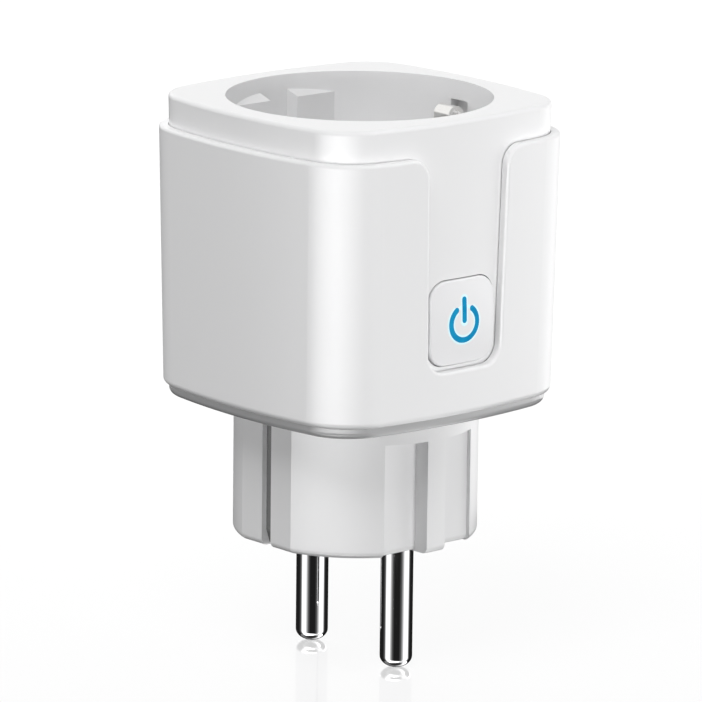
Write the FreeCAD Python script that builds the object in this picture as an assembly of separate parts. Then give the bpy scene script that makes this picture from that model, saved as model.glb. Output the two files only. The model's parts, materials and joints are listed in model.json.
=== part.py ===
"""Plug-through smart plug: an earthed round-pin plug below, a matching socket recess on top, a lit power
button on the front, and the mains switching electronics between them.

Frame: millimetres, +Z up, origin at the centre of the plug neck's face between the two pins. The button
faces -Y, the pins stand at y = +-9.5 and the earth contacts lie at +-X.
"""
import FreeCAD, Part
import math
import os

V = FreeCAD.Vector
UP = V(0, 0, 1)
EAST = V(1, 0, 0)
NORTH = V(0, 1, 0)

# ---- plug side, after the common 16 A earthed round-pin plug ----
PIN_R = 2.4
PIN_LENGTH = 19.0
PIN_PITCH = 19.0
PIN_Y = PIN_PITCH / 2
NECK_R = 18.0
NECK_FLAT_X = 17.15
KEYWAY_HALF = 8.3
KEYWAY_FLOOR_Y = 15.3
KEYWAY_TOP = 16.9
NECK_BORE_R = 14.2
NECK_FLOOR = 2.5
NECK_EDGE = 1.0
RIB_HALF = 1.72
STRIP_HALF = 1.7
STRIP_SLOT_HALF = 0.99
STRIP_SLOT_TOP = 18.6
STRIP_FACE_X = 16.28
STRIP_THICK = 0.6
STRIP_LOW = 2.3
STRIP_BEND_X = 15.1
STRIP_BEND_Z = 0.35
PIN_SEAT_R = 2.1
PIN_DOME = 1.7
COLLAR_R = 3.4
COLLAR_TOP = 4.6
TAIL_R = 1.5
TAIL_TOP = 8.0
BUSBAR_THICK = 0.8
BRIDGE_R = 17.4
BRIDGE_BORE_R = 14.6

# ---- levels of the housing ----
TRAY_BOTTOM = 20.1
TRAY_TOP = 21.7
SLEEVE_TOP = 60.3
TOP_FACE = 64.96

# ---- plan outlines: a square with crowned sides and round corners ----
CROWN_R = 100.0
SLEEVE_HALF_LOW = 23.77
SLEEVE_HALF_TOP = 24.44
SLEEVE_CORNER = 9.0
CORE_HALF_LOW = 22.32
CORE_HALF_TOP = 23.09
CORE_CORNER = 7.65
CORE_WALL = 1.7
SLEEVE_GAP = 0.12
TRAY_HALF = 22.9
TRAY_CORNER = 8.0
TRAY_EDGE = 1.0
SPIGOT_GAP = 0.1
SPIGOT_WALL = 1.3
SPIGOT_HEIGHT = 3.0

# ---- sleeve channel and button ----
CHANNEL_HALF_LOW = 6.85
CHANNEL_HALF_TOP = 7.45
CHANNEL_FLOOR = 28.5
CHANNEL_CORNER = 3.0
SLEEVE_TOP_EDGE = 0.45
SLEEVE_LOW_EDGE = 0.9
BUTTON_HALF_X = 6.2
BUTTON_LOW = 29.2
BUTTON_HIGH = 41.7
BUTTON_CORNER = 3.0
BUTTON_PROUD = 0.9
BUTTON_CROWN_R = 45.0
BUTTON_GAP = 0.15
BUTTON_FLANGE_Y = -20.3
BUTTON_FLANGE = 0.5
ICON_Z = 35.25
ICON_RING_R = 2.48
ICON_STROKE = 0.85
ICON_OPENING = 36.0
ICON_BAR_TOP = 39.15
GUIDE_DISC_R = 4.4
GUIDE_DISC_Y = -22.1

# ---- socket recess ----
RECESS_R = 19.53
RECESS_FLOOR = 47.5
FLOOR_THICK = 1.6
CUP_WALL = 1.5
GUIDE_FLAT_Y = 16.9
GUIDE_GROOVE_HALF = 2.6
GUIDE_TOP_WALL = 62.8
GUIDE_TOP_FACE = 61.9
WINDOW_HALF = 1.85
WINDOW_TOP = 62.0
WINDOW_DEPTH_X = 20.9
SOCKET_HOLE_R = 2.9

# ---- earth clips ----
CLIP_HALF = 1.6
CLIP_THICK = 0.55
CLIP_BEND_R = 1.5
CLIP_BEND_X = 17.4
CLIP_BEND_Z = 60.1
CLIP_BULGE_X = 14.7
CLIP_BULGE_Z = 54.2
CLIP_END_X = 15.4
CLIP_END_Z = 50.2

# ---- shutter under the recess floor ----
SHUTTER_TOP = 45.7
SHUTTER_THICK = 1.8
SHUTTER_HUB_R = 4.2
SHUTTER_PIVOT_R = 1.8
SHUTTER_REACH = 13.2
SHUTTER_HALF_ANGLE = 20.0
RETAINER_TOP = 43.6
RETAINER_SCREW_X = 8.0
RETAINER_THICK = 1.0

# ---- fasteners ----
BOSS_XY = 15.9
BOSS_R = 3.2
BOSS_FOOT = 23.2
SCREW_R = 1.25
SCREW_HEAD_R = 2.6
SCREW_HEAD_H = 1.6
SCREW_SEAT = 21.9
SCREW_TIP = 33.0
WELL_R = 2.8
STAKE_XY = 11.5
STAKE_R = 0.8
STAKE_HEAD_R = 1.4

# ---- boards ----
BOARD_BOTTOM = TRAY_TOP + SPIGOT_HEIGHT
BOARD_THICK = 1.6
BOARD_TOP = BOARD_BOTTOM + BOARD_THICK
BOARD_HALF = 20.0
POST_X = 9.5
POST_Y = 17.0
POST_R = 1.8
SWITCH_BOARD_Y = -16.6
SWITCH_BOARD_THICK = 1.0
PLUNGER_TIP = -19.6

# ---- relay ----
RELAY_X = 12.5
RELAY_HALF_X = 5.1
RELAY_HALF_Y = 9.2
RELAY_FOOT = BOARD_TOP + 0.1
RELAY_TOP = RELAY_FOOT + 15.0
RELAY_WALL = 0.7
COIL_Y = -2.6
COIL_LOW = RELAY_FOOT + 2.6
COIL_HIGH = RELAY_FOOT + 10.6
ARMATURE_Y = 2.4
ARMATURE_Z = RELAY_FOOT + 11.9
LEG_TIP = BOARD_BOTTOM - 0.8

# ---- supply transformer and radio board ----
FERRITE_X0 = -6.2
FERRITE_X1 = 3.4
FERRITE_HALF_Y = 2.5
FERRITE_WALL = 1.6
FERRITE_WINDOW = 2.1
RADIO_Y = 16.0
FERRITE_LOW = BOARD_TOP + 0.6
FERRITE_HIGH = BOARD_TOP + 10.0


# ---------------------------------------------------------------- helpers

def box(x0, x1, y0, y1, z0, z1):
    """Block between two corners."""
    return Part.makeBox(x1 - x0, y1 - y0, z1 - z0, V(x0, y0, z0))


def rod(r, x, y, z0, z1):
    """Upright cylinder."""
    return Part.makeCylinder(r, z1 - z0, V(x, y, z0), UP)


def rod_y(r, x, z, y0, y1):
    """Cylinder along Y."""
    return Part.makeCylinder(r, y1 - y0, V(x, y0, z), NORTH)


def union(first, *others):
    """One clean solid from several."""
    return first.fuse(list(others)).removeSplitter()


def mirrored_x(shape):
    """Copy across the YZ plane."""
    return shape.mirror(V(0, 0, 0), EAST)


def mirrored_y(shape):
    """Copy across the XZ plane."""
    return shape.mirror(V(0, 0, 0), NORTH)


def crowned_square(half, corner, crown, z):
    """Wire of a square with four bowed sides and tangent round corners, at height z."""
    inset = half - crown
    reach = crown - corner
    centre = (inset + math.sqrt(2 * reach ** 2 - inset ** 2)) / 2
    scale = crown / reach
    near = centre * scale
    far = inset + (centre - inset) * scale
    slant = centre + corner / math.sqrt(2)
    side = [V(-near, far, z), V(0, half, z), V(near, far, z)]
    bend = [V(near, far, z), V(slant, slant, z), V(far, near, z)]
    edges = []
    for quarter in range(4):
        turn = FreeCAD.Rotation(UP, -90 * quarter)
        for three in (side, bend):
            points = [turn.multVec(p) for p in three]
            edges.append(Part.Arc(points[0], points[1], points[2]).toShape())
    return Part.Wire(Part.__sortEdges__(edges))


def crowned_block(low, high, corner, crown, z0, z1):
    """Solid between two crowned squares, so that its sides have draft."""
    wires = [crowned_square(low, corner, crown, z0), crowned_square(high, corner, crown, z1)]
    return Part.makeLoft(wires, True, True)


def core_half(z):
    """Half width of the core's outside at height z."""
    return CORE_HALF_LOW + (CORE_HALF_TOP - CORE_HALF_LOW) * (z - TRAY_TOP) / (TOP_FACE - TRAY_TOP)


def core_block(offset, z0, z1):
    """The core's drafted outline, grown by offset."""
    corner = CORE_CORNER + offset
    crown = CROWN_R - (SLEEVE_CORNER - CORE_CORNER) + offset
    return crowned_block(core_half(z0) + offset, core_half(z1) + offset, corner, crown, z0, z1)


def round_plate(x0, x1, z0, z1, r, y0, y1):
    """Plate standing in the XZ plane with round corners."""
    plate = box(x0, x1, y0, y1, z0, z1)
    return plate.makeFillet(r, edges_along(plate, NORTH))


def edges_along(shape, way):
    """Straight edges of a shape that run along a direction."""
    found = []
    for edge in shape.Edges:
        if len(edge.Vertexes) == 2:
            run = edge.Vertexes[1].Point.sub(edge.Vertexes[0].Point)
            if run.Length > 1e-6 and run.cross(way).Length < 1e-6 * run.Length:
                found.append(edge)
    return found


def edges_at_z(shape, z):
    """Edges that lie wholly at one height."""
    found = []
    for edge in shape.Edges:
        span = edge.BoundBox
        if abs(span.ZMin - z) < 1e-4 and abs(span.ZMax - z) < 1e-4:
            found.append(edge)
    return found


def strip_band(points, y_half, thick):
    """Bent metal strip in the XZ plane: the run of points and its mitred offset, closed and extruded."""
    ways = []
    for (x0, z0), (x1, z1) in zip(points, points[1:]):
        run = math.hypot(x1 - x0, z1 - z0)
        ways.append((-(z1 - z0) / run, (x1 - x0) / run))
    ways = [ways[0]] + ways + [ways[-1]]
    far = []
    for (x, z), (ax, az), (bx, bz) in zip(points, ways, ways[1:]):
        share = thick / (1 + ax * bx + az * bz)
        far.append((x + (ax + bx) * share, z + (az + bz) * share))
    outline = [V(x, -y_half, z) for x, z in points + far[::-1] + points[:1]]
    return Part.Face(Part.makePolygon(outline)).extrude(V(0, 2 * y_half, 0))


# ---------------------------------------------------------------- housing

def sleeve_channel():
    """Cutter for the sleeve's open front: tapered sides, round lower corners and a flared top."""
    low = CHANNEL_HALF_LOW
    top = CHANNEL_HALF_TOP
    flare_z = SLEEVE_TOP - CHANNEL_CORNER
    above = SLEEVE_TOP + 1
    front = -30
    outline = [V(-low, front, CHANNEL_FLOOR), V(low, front, CHANNEL_FLOOR), V(top, front, flare_z),
               V(top, front, above), V(-top, front, above), V(-top, front, flare_z),
               V(-low, front, CHANNEL_FLOOR)]
    slot = Part.Face(Part.makePolygon(outline)).extrude(V(0, 10, 0))
    corners = [e for e in edges_along(slot, NORTH) if e.CenterOfMass.z < CHANNEL_FLOOR + 1]
    slot = slot.makeFillet(CHANNEL_CORNER, corners)
    mouth = top + CHANNEL_CORNER
    flare = box(-mouth, mouth, front, front + 10, flare_z, above)
    for side in (-1, 1):
        flare = flare.cut(rod_y(CHANNEL_CORNER, side * mouth, flare_z, front - 1, front + 11))
    return union(slot, flare)


def outer_sleeve():
    """Drafted cosmetic sleeve around the core, open down the front where the button sits."""
    outside = crowned_block(SLEEVE_HALF_LOW, SLEEVE_HALF_TOP, SLEEVE_CORNER, CROWN_R,
                            TRAY_TOP, SLEEVE_TOP)
    outside = outside.makeFillet(SLEEVE_LOW_EDGE, edges_at_z(outside, TRAY_TOP))
    outside = outside.cut(sleeve_channel())
    outside = outside.makeFillet(SLEEVE_TOP_EDGE, sleeve_front_edges(outside))
    sleeve = outside.cut(core_block(SLEEVE_GAP, TRAY_TOP - 1, SLEEVE_TOP + 1))
    for side in (-1, 1):
        sleeve = sleeve.cut(snap_lug(side, 0.08))
    return sleeve


def sleeve_front_edges(block):
    """The chain of outer edges around the sleeve's top and down both sides of its channel."""
    found = []
    for edge in block.Edges:
        span = edge.BoundBox
        on_top = abs(span.ZMin - SLEEVE_TOP) < 1e-4
        in_front = span.YMax < -23 and abs(edge.CenterOfMass.x) < CHANNEL_HALF_TOP + CHANNEL_CORNER
        around = on_top and not (abs(span.XMax) < 12 and span.YMin > -23 and span.YMax < 0)
        if (in_front and span.ZMin > CHANNEL_FLOOR - 1) or around:
            found.append(edge)
    return found


def snap_lug(side, grow):
    """Lug on the core's flank that catches in the sleeve."""
    face = core_half(40.0)
    x0 = side * (face - 0.8)
    x1 = side * (face + 0.6 + grow)
    return box(min(x0, x1), max(x0, x1), -3 - grow, 3 + grow, 39.4 - grow, 40.6 + grow)


def guide_blocks():
    """Two blocks in the recess that key the plug's flats, each with a groove down its middle."""
    blocks = []
    for side in (-1, 1):
        block = box(-12, 12, GUIDE_FLAT_Y, RECESS_R + 0.3, RECESS_FLOOR - 0.2, TOP_FACE)
        lid = [V(-13, GUIDE_FLAT_Y - 1, GUIDE_TOP_FACE - 0.3), V(-13, RECESS_R + 1, GUIDE_TOP_WALL + 0.3),
               V(-13, RECESS_R + 1, TOP_FACE + 2), V(-13, GUIDE_FLAT_Y - 1, TOP_FACE + 2)]
        lid.append(lid[0])
        block = block.cut(Part.Face(Part.makePolygon(lid)).extrude(V(26, 0, 0)))
        block = block.common(rod(RECESS_R + 0.3, 0, 0, RECESS_FLOOR - 0.2, TOP_FACE))
        block = block.cut(box(-GUIDE_GROOVE_HALF, GUIDE_GROOVE_HALF, 10, 25, RECESS_FLOOR, TOP_FACE))
        blocks.append(block if side > 0 else mirrored_y(block))
    return blocks


def core_housing():
    """Upper moulding: side walls, top frame, socket recess and screw bosses."""
    shell = core_block(0, TRAY_TOP, TOP_FACE)
    shell = shell.makeFillet(0.6, edges_at_z(shell, TOP_FACE))
    roof = TOP_FACE - CORE_WALL
    shell = shell.cut(core_block(-CORE_WALL, TRAY_TOP - 1, roof))
    cup_r = RECESS_R + CUP_WALL
    cup_foot = RECESS_FLOOR - FLOOR_THICK
    parts = [rod(cup_r, 0, 0, cup_foot, roof + 0.2).common(core_block(-0.5, cup_foot, roof + 0.2))]
    for sx in (-1, 1):
        for sy in (-1, 1):
            post = rod(BOSS_R, sx * BOSS_XY, sy * BOSS_XY, BOSS_FOOT, cup_foot + 2)
            parts.append(post.common(core_block(-0.5, BOSS_FOOT, cup_foot + 2)))
    for side in (-1, 1):
        parts.append(rod(1.9, side * RETAINER_SCREW_X, 0, RETAINER_TOP, cup_foot + 0.2))
        parts.append(snap_lug(side, 0))
    parts.append(rod(SHUTTER_PIVOT_R, 0, 0, RETAINER_TOP - 0.6, cup_foot + 0.2))
    shell = union(shell, *parts)
    mouth = rod(RECESS_R, 0, 0, RECESS_FLOOR, TOP_FACE + 1)
    shell = union(shell.cut(mouth), *guide_blocks())
    cuts = []
    for side in (-1, 1):
        x0, x1 = sorted((side * (CLIP_BEND_X + 0.6), side * WINDOW_DEPTH_X))
        cuts.append(box(x0, x1, -WINDOW_HALF, WINDOW_HALF, RECESS_FLOOR - 3, WINDOW_TOP))
        cuts.append(rod(SOCKET_HOLE_R, 0, side * PIN_Y, RECESS_FLOOR - 3, RECESS_FLOOR + 1))
        cuts.append(rod(0.8, side * RETAINER_SCREW_X, 0, RETAINER_TOP - 1, RETAINER_TOP + 3.2))
        for sy in (-1, 1):
            cuts.append(rod(SCREW_R + 0.05, side * BOSS_XY, sy * BOSS_XY, BOSS_FOOT - 1, SCREW_TIP + 1))
    gap = BUTTON_GAP
    half = BUTTON_HALF_X + gap
    cuts.append(round_plate(-half, half, BUTTON_LOW - gap, BUTTON_HIGH + gap,
                            BUTTON_CORNER + gap, -26, -19))
    for cutter in cuts:
        shell = shell.cut(cutter)
    return shell


def plug_neck():
    """Round plug neck with two flats, and on two sides a pair of keyways with a rib between them."""
    top = TRAY_BOTTOM + 0.5
    neck = rod(NECK_R, 0, 0, 0, top).common(box(-NECK_FLAT_X, NECK_FLAT_X, -NECK_R, NECK_R, 0, top))
    neck = neck.makeFillet(NECK_EDGE, edges_at_z(neck, 0))
    for sx in (-1, 1):
        for sy in (-1, 1):
            x0, x1 = sorted((sx * RIB_HALF, sx * KEYWAY_HALF))
            y0, y1 = sorted((sy * KEYWAY_FLOOR_Y, sy * (NECK_R + 1)))
            neck = neck.cut(box(x0, x1, y0, y1, -1, KEYWAY_TOP))
            axis_y = sy * (KEYWAY_FLOOR_Y - NECK_EDGE)
            low_y, high_y = sorted((axis_y, sy * (KEYWAY_FLOOR_Y + 1)))
            sill = box(x0, x1, low_y, high_y, -1, NECK_EDGE)
            rounding = Part.makeCylinder(NECK_EDGE, x1 - x0, V(x0, axis_y, NECK_EDGE), EAST)
            neck = neck.cut(sill.cut(rounding))
    return neck


def tray_inside():
    """Spigot rim, screw pads, board posts and heat stakes that rise from the tray's floor."""
    foot = TRAY_TOP - 0.3
    rim = core_block(-CORE_WALL - SPIGOT_GAP, foot, BOARD_BOTTOM)
    rim = rim.cut(core_block(-CORE_WALL - SPIGOT_GAP - SPIGOT_WALL, TRAY_TOP - 1, BOARD_BOTTOM + 1))
    inner = core_block(-CORE_WALL - SPIGOT_GAP, foot, BOSS_FOOT)
    parts = []
    for sx in (-1, 1):
        for sy in (-1, 1):
            rim = rim.cut(rod(BOSS_R + 0.15, sx * BOSS_XY, sy * BOSS_XY, TRAY_TOP, BOARD_TOP))
            parts.append(rod(BOSS_R, sx * BOSS_XY, sy * BOSS_XY, foot, BOSS_FOOT).common(inner))
    for side in (-1, 1):
        parts.append(rod(POST_R, side * POST_X, side * POST_Y, foot, BOARD_BOTTOM))
        x = side * STAKE_XY
        parts.append(rod(STAKE_R, x, -x, foot, TRAY_TOP + 1.2))
        parts.append(rod(STAKE_HEAD_R, x, -x, TRAY_TOP + BUSBAR_THICK + 0.05, TRAY_TOP + 1.4))
    return [rim] + parts


def base_housing():
    """Lower moulding: shallow tray, locating spigot, and the plug neck with its keys and slots."""
    tray = crowned_block(TRAY_HALF, TRAY_HALF, TRAY_CORNER, CROWN_R - 1, TRAY_BOTTOM, TRAY_TOP)
    tray = tray.makeFillet(TRAY_EDGE, edges_at_z(tray, TRAY_BOTTOM))
    base = union(tray, plug_neck(), *tray_inside())
    cuts = [rod(NECK_BORE_R, 0, 0, NECK_FLOOR, TRAY_TOP + 1)]
    half = STRIP_SLOT_HALF
    for side in (-1, 1):
        cuts.append(rod(PIN_SEAT_R, 0, side * PIN_Y, -1, NECK_FLOOR + 1))
        cuts.append(rod(0.95, side * POST_X, side * POST_Y, TRAY_TOP + 0.4, BOARD_BOTTOM + 1))
        groove = box(STRIP_FACE_X, NECK_R + 1, -half, half, -1, STRIP_SLOT_TOP)
        pocket = box(STRIP_FACE_X - STRIP_THICK, STRIP_FACE_X, -STRIP_HALF, STRIP_HALF,
                     STRIP_LOW, TRAY_TOP + 1)
        nose = box(STRIP_BEND_X - 0.2, STRIP_FACE_X, -half, half, -1, STRIP_LOW)
        for cutter in (groove, pocket, nose):
            cuts.append(cutter if side > 0 else mirrored_x(cutter))
        for sy in (-1, 1):
            cuts.append(rod(WELL_R, side * BOSS_XY, sy * BOSS_XY, TRAY_BOTTOM - 1, SCREW_SEAT))
            cuts.append(rod(SCREW_R + 0.25, side * BOSS_XY, sy * BOSS_XY, TRAY_BOTTOM, BOSS_FOOT + 1))
    for cutter in cuts:
        base = base.cut(cutter)
    return base


def screw(x, y, seat, head_r, head_h, shank_r, tip):
    """Pan-head screw driven upwards, with a cross recess in its head."""
    head = rod(head_r, x, y, seat - head_h, seat)
    head = head.makeFillet(0.3, edges_at_z(head, seat - head_h))
    body = head.fuse(rod(shank_r, x, y, seat, tip)).removeSplitter()
    arm = head_r * 0.55
    cross = box(x - arm, x + arm, y - 0.3, y + 0.3, seat - head_h - 1, seat - head_h + 0.8)
    cross = cross.fuse(box(x - 0.3, x + 0.3, y - arm, y + arm, seat - head_h - 1, seat - head_h + 0.8))
    return body.cut(cross)


def flipped(shape, z):
    """Turn a shape upside down about the level z."""
    return shape.mirror(V(0, 0, z), UP)


def housing_screws():
    """Four screws in the tray's corner wells."""
    screws = []
    for sx in (-1, 1):
        for sy in (-1, 1):
            screws.append(screw(sx * BOSS_XY, sy * BOSS_XY, SCREW_SEAT, SCREW_HEAD_R, SCREW_HEAD_H,
                                SCREW_R, SCREW_TIP))
    return Part.makeCompound(screws)


# ---------------------------------------------------------------- button and its switch

def crown_sphere():
    """Large sphere whose front point is the middle of the button's face."""
    front = core_half(ICON_Z) + BUTTON_PROUD
    return Part.makeSphere(BUTTON_CROWN_R, V(0, BUTTON_CROWN_R - front, ICON_Z))


def icon_prism(y0, y1):
    """Power symbol: an open ring and a bar, both with round ends."""
    half = ICON_STROKE / 2
    ring = rod_y(ICON_RING_R + half, 0, ICON_Z, y0, y1).cut(rod_y(ICON_RING_R - half, 0, ICON_Z, y0, y1))
    reach = 10.0
    spread = math.radians(ICON_OPENING)
    tip_x = reach * math.sin(spread)
    tip_z = ICON_Z + reach * math.cos(spread)
    wedge = [V(0, y0, ICON_Z), V(tip_x, y0, tip_z), V(-tip_x, y0, tip_z), V(0, y0, ICON_Z)]
    ring = ring.cut(Part.Face(Part.makePolygon(wedge)).extrude(V(0, y1 - y0, 0)))
    caps = []
    for side in (-1, 1):
        caps.append(rod_y(half, side * ICON_RING_R * math.sin(spread),
                          ICON_Z + ICON_RING_R * math.cos(spread), y0, y1))
    bar_low = ICON_Z + half
    bar_high = ICON_BAR_TOP - half
    bar = box(-half, half, y0, y1, bar_low, bar_high)
    bar_ends = [rod_y(half, 0, z, y0, y1) for z in (bar_low, bar_high)]
    return [union(ring, *caps), union(bar, *bar_ends)]


def power_button():
    """Crowned button cap with a retaining flange and a rear post on the switch."""
    cap = round_plate(-BUTTON_HALF_X, BUTTON_HALF_X, BUTTON_LOW, BUTTON_HIGH, BUTTON_CORNER,
                      -25, BUTTON_FLANGE_Y + 0.1)
    cap = cap.common(crown_sphere())
    front = [e for e in cap.Edges if e.BoundBox.YMax < -22]
    cap = cap.makeFillet(0.35, front)
    flange = round_plate(-7.4, 7.4, BUTTON_LOW - 1, BUTTON_HIGH + 1, BUTTON_CORNER + 1,
                         BUTTON_FLANGE_Y, BUTTON_FLANGE_Y + BUTTON_FLANGE)
    cap = union(cap, flange)
    cap = cap.cut(rod_y(GUIDE_DISC_R, 0, ICON_Z, GUIDE_DISC_Y, -19))
    for prism in icon_prism(-26, -21):
        cap = cap.cut(prism)
    return cap


def button_icon():
    """Light guide: the symbol's two bars of clear plastic on a round rear disc with a pusher."""
    disc = rod_y(GUIDE_DISC_R - 0.1, 0, ICON_Z, GUIDE_DISC_Y, GUIDE_DISC_Y + 1)
    pusher = rod_y(1.5, 0, ICON_Z, GUIDE_DISC_Y + 0.9, PLUNGER_TIP - 0.05)
    symbol = [prism.common(crown_sphere()) for prism in icon_prism(-25, GUIDE_DISC_Y + 0.1)]
    return union(disc, pusher, *symbol)


def switch_board():
    """Small upright board that carries the push switch and the lamps."""
    y1 = SWITCH_BOARD_Y + SWITCH_BOARD_THICK
    board = box(-7.2, 7.2, SWITCH_BOARD_Y, y1, BOARD_TOP, 43.8)
    for side in (-1, 1):
        board = board.cut(rod_y(0.9, side * 5.6, 42.2, SWITCH_BOARD_Y - 1, y1 + 1))
    return board


def tact_switch():
    """Push switch body with a hollow for its snap dome."""
    body = box(-3, 3, SWITCH_BOARD_Y - 2.4, SWITCH_BOARD_Y, ICON_Z - 3, ICON_Z + 3)
    body = body.makeFillet(0.4, edges_along(body, NORTH))
    body = body.cut(rod_y(1.75, 0, ICON_Z, SWITCH_BOARD_Y - 3, SWITCH_BOARD_Y - 1.6))
    body = body.cut(rod_y(2.3, 0, ICON_Z, SWITCH_BOARD_Y - 1.7, SWITCH_BOARD_Y - 0.5))
    return body


def switch_plunger():
    """Round plunger of the push switch."""
    stem = rod_y(1.7, 0, ICON_Z, PLUNGER_TIP, SWITCH_BOARD_Y - 1.65)
    collar = rod_y(2.15, 0, ICON_Z, SWITCH_BOARD_Y - 1.65, SWITCH_BOARD_Y - 1.3)
    return union(stem, collar)


def switch_dome():
    """Metal snap dome under the plunger."""
    low = SWITCH_BOARD_Y - 0.55
    high = SWITCH_BOARD_Y - 1.25
    rise = low - high
    radius = (2.1 ** 2 + rise ** 2) / (2 * rise)
    ball = Part.makeSphere(radius, V(0, high + radius, ICON_Z))
    inner = Part.makeSphere(radius - 0.12, V(0, high + radius, ICON_Z))
    return ball.cut(inner).common(rod_y(2.1, 0, ICON_Z, high - 1, low))


def status_leds():
    """Two chip lamps above and below the switch."""
    lamps = []
    for z in (ICON_Z - 4.6, ICON_Z + 4.6):
        lamp = box(-1.6, 1.6, SWITCH_BOARD_Y - 0.5, SWITCH_BOARD_Y, z - 0.8, z + 0.8)
        lens = box(-1.1, 1.1, SWITCH_BOARD_Y - 0.9, SWITCH_BOARD_Y - 0.5, z - 0.6, z + 0.6)
        lamps.append(union(lamp, lens))
    return Part.makeCompound(lamps)


# ---------------------------------------------------------------- mains metalwork

def plug_pin(side):
    """Turned pin with a domed tip and a collar that seats on the neck's floor."""
    y = side * PIN_Y
    shank = rod(PIN_R, 0, y, -PIN_LENGTH, 0)
    shank = shank.makeFillet(PIN_DOME, edges_at_z(shank, -PIN_LENGTH))
    seat = rod(PIN_SEAT_R, 0, y, 0, NECK_FLOOR)
    collar = rod(COLLAR_R, 0, y, NECK_FLOOR, COLLAR_TOP)
    tail = rod(TAIL_R, 0, y, COLLAR_TOP, TAIL_TOP)
    return union(shank, seat, collar, tail)


def busbar(side):
    """Flat strip that carries a pin's current up to the main board."""
    y = side * PIN_Y
    top = COLLAR_TOP + BUSBAR_THICK
    half = 2.0
    outer_x = 5.2
    hole = rod(TAIL_R, 0, y, COLLAR_TOP - 1, top + 1)
    ring = rod(COLLAR_R - 0.2, 0, y, COLLAR_TOP, top).cut(hole)
    foot = box(TAIL_R + 0.1, outer_x, y - half, y + half, COLLAR_TOP, top).cut(hole)
    riser = box(outer_x - BUSBAR_THICK, outer_x, y - half, y + half, COLLAR_TOP, BOARD_TOP + 0.8)
    return union(ring, foot, riser)


def earth_strip():
    """Side contact of the plug neck: a strip in its slot, bent inwards at the bottom."""
    strip = box(STRIP_FACE_X - STRIP_THICK, STRIP_FACE_X, -STRIP_HALF, STRIP_HALF,
                STRIP_LOW, TRAY_TOP + BUSBAR_THICK)
    ramp = [V(STRIP_FACE_X, 0, STRIP_LOW), V(STRIP_FACE_X - STRIP_THICK, 0, STRIP_LOW),
            V(STRIP_BEND_X, 0, STRIP_BEND_Z), V(STRIP_BEND_X + 0.5, 0, STRIP_BEND_Z - 0.1)]
    ramp.append(ramp[0])
    nose = Part.Face(Part.makePolygon(ramp)).extrude(V(0, 2 * STRIP_SLOT_HALF - 0.1, 0))
    nose.translate(V(0, 0.05 - STRIP_SLOT_HALF, 0))
    return union(strip, nose)


def earth_bridge():
    """Ring on the tray floor that joins both side contacts and both recess clips."""
    top = TRAY_TOP + BUSBAR_THICK
    above = top + 1
    below = TRAY_TOP - 1
    tab_x = 19.1
    tab_half = 2.2
    ring = rod(BRIDGE_R, 0, 0, TRAY_TOP, top)
    tabs = box(-tab_x, tab_x, -tab_half, tab_half, TRAY_TOP, top)
    ring = union(ring, tabs)
    ring = ring.cut(rod(BRIDGE_BORE_R, 0, 0, below, above))
    for side in (-1, 1):
        slot = box(STRIP_FACE_X - STRIP_THICK, STRIP_FACE_X, -STRIP_HALF, STRIP_HALF, below, above)
        ring = ring.cut(slot if side > 0 else mirrored_x(slot))
        ring = ring.cut(rod(STAKE_R + 0.05, side * STAKE_XY, -side * STAKE_XY, below, above))
    return ring


def earth_riser():
    """Fixed upright strip that brings earth from the bridge to a recess clip."""
    outer = CLIP_BEND_X + CLIP_BEND_R
    foot = TRAY_TOP + BUSBAR_THICK
    return box(outer - CLIP_THICK, outer, -CLIP_HALF, CLIP_HALF, foot, CLIP_BEND_Z - 0.02)


def earth_clip():
    """Sprung finger: a half-round bend over the riser and a bulged leg that touches the plug."""
    bend = rod_y(CLIP_BEND_R, CLIP_BEND_X, CLIP_BEND_Z, -CLIP_HALF, CLIP_HALF)
    bend = bend.cut(rod_y(CLIP_BEND_R - CLIP_THICK, CLIP_BEND_X, CLIP_BEND_Z, -CLIP_HALF, CLIP_HALF))
    bend = bend.cut(box(10, 25, -5, 5, CLIP_BEND_Z - 5, CLIP_BEND_Z))
    start = CLIP_BEND_X - CLIP_BEND_R
    path = [(start, CLIP_BEND_Z), (start, CLIP_BEND_Z - 0.4), (CLIP_BULGE_X, CLIP_BULGE_Z + 1.0),
            (CLIP_BULGE_X, CLIP_BULGE_Z - 0.6), (CLIP_END_X, CLIP_END_Z)]
    leg = strip_band(path, CLIP_HALF, CLIP_THICK)
    return union(bend, leg)


def socket_contact(side):
    """Receptacle for one pin: a slit tube on a leg soldered to the main board."""
    y = side * PIN_Y
    outer_r = 3.2
    bore_r = PIN_R + 0.02
    foot = 31.0
    top = 41.8
    slit_foot = 34.0
    half = 1.5
    tube = rod(outer_r, 0, y, foot, top).cut(rod(bore_r, 0, y, foot - 1, top + 1))
    tube = tube.cut(box(-0.5, 0.5, y - outer_r - 1, y + outer_r + 1, slit_foot, top + 1))
    leg = box(-4.0, -3.0, y - half, y + half, LEG_TIP, slit_foot)
    neck = box(-3.9, -2.6, y - half, y + half, foot, slit_foot - 0.5)
    neck = neck.cut(rod(2.6, 0, y, foot - 1, top))
    return union(tube, neck, leg)


# ---------------------------------------------------------------- shutter

def shutter_sector(half_angle, reach, z0, z1):
    """Two opposite lobes that cover the socket holes, centred on the Y axis."""
    lobes = rod(reach, 0, 0, z0, z1)
    span = 2 * reach
    edge = math.tan(math.radians(half_angle)) * span
    outline = [V(0, 0, z0), V(edge, span, z0), V(-edge, span, z0), V(0, 0, z0)]
    front = Part.Face(Part.makePolygon(outline)).extrude(V(0, 0, z1 - z0))
    return lobes.common(front.fuse(mirrored_y(front)))


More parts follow.
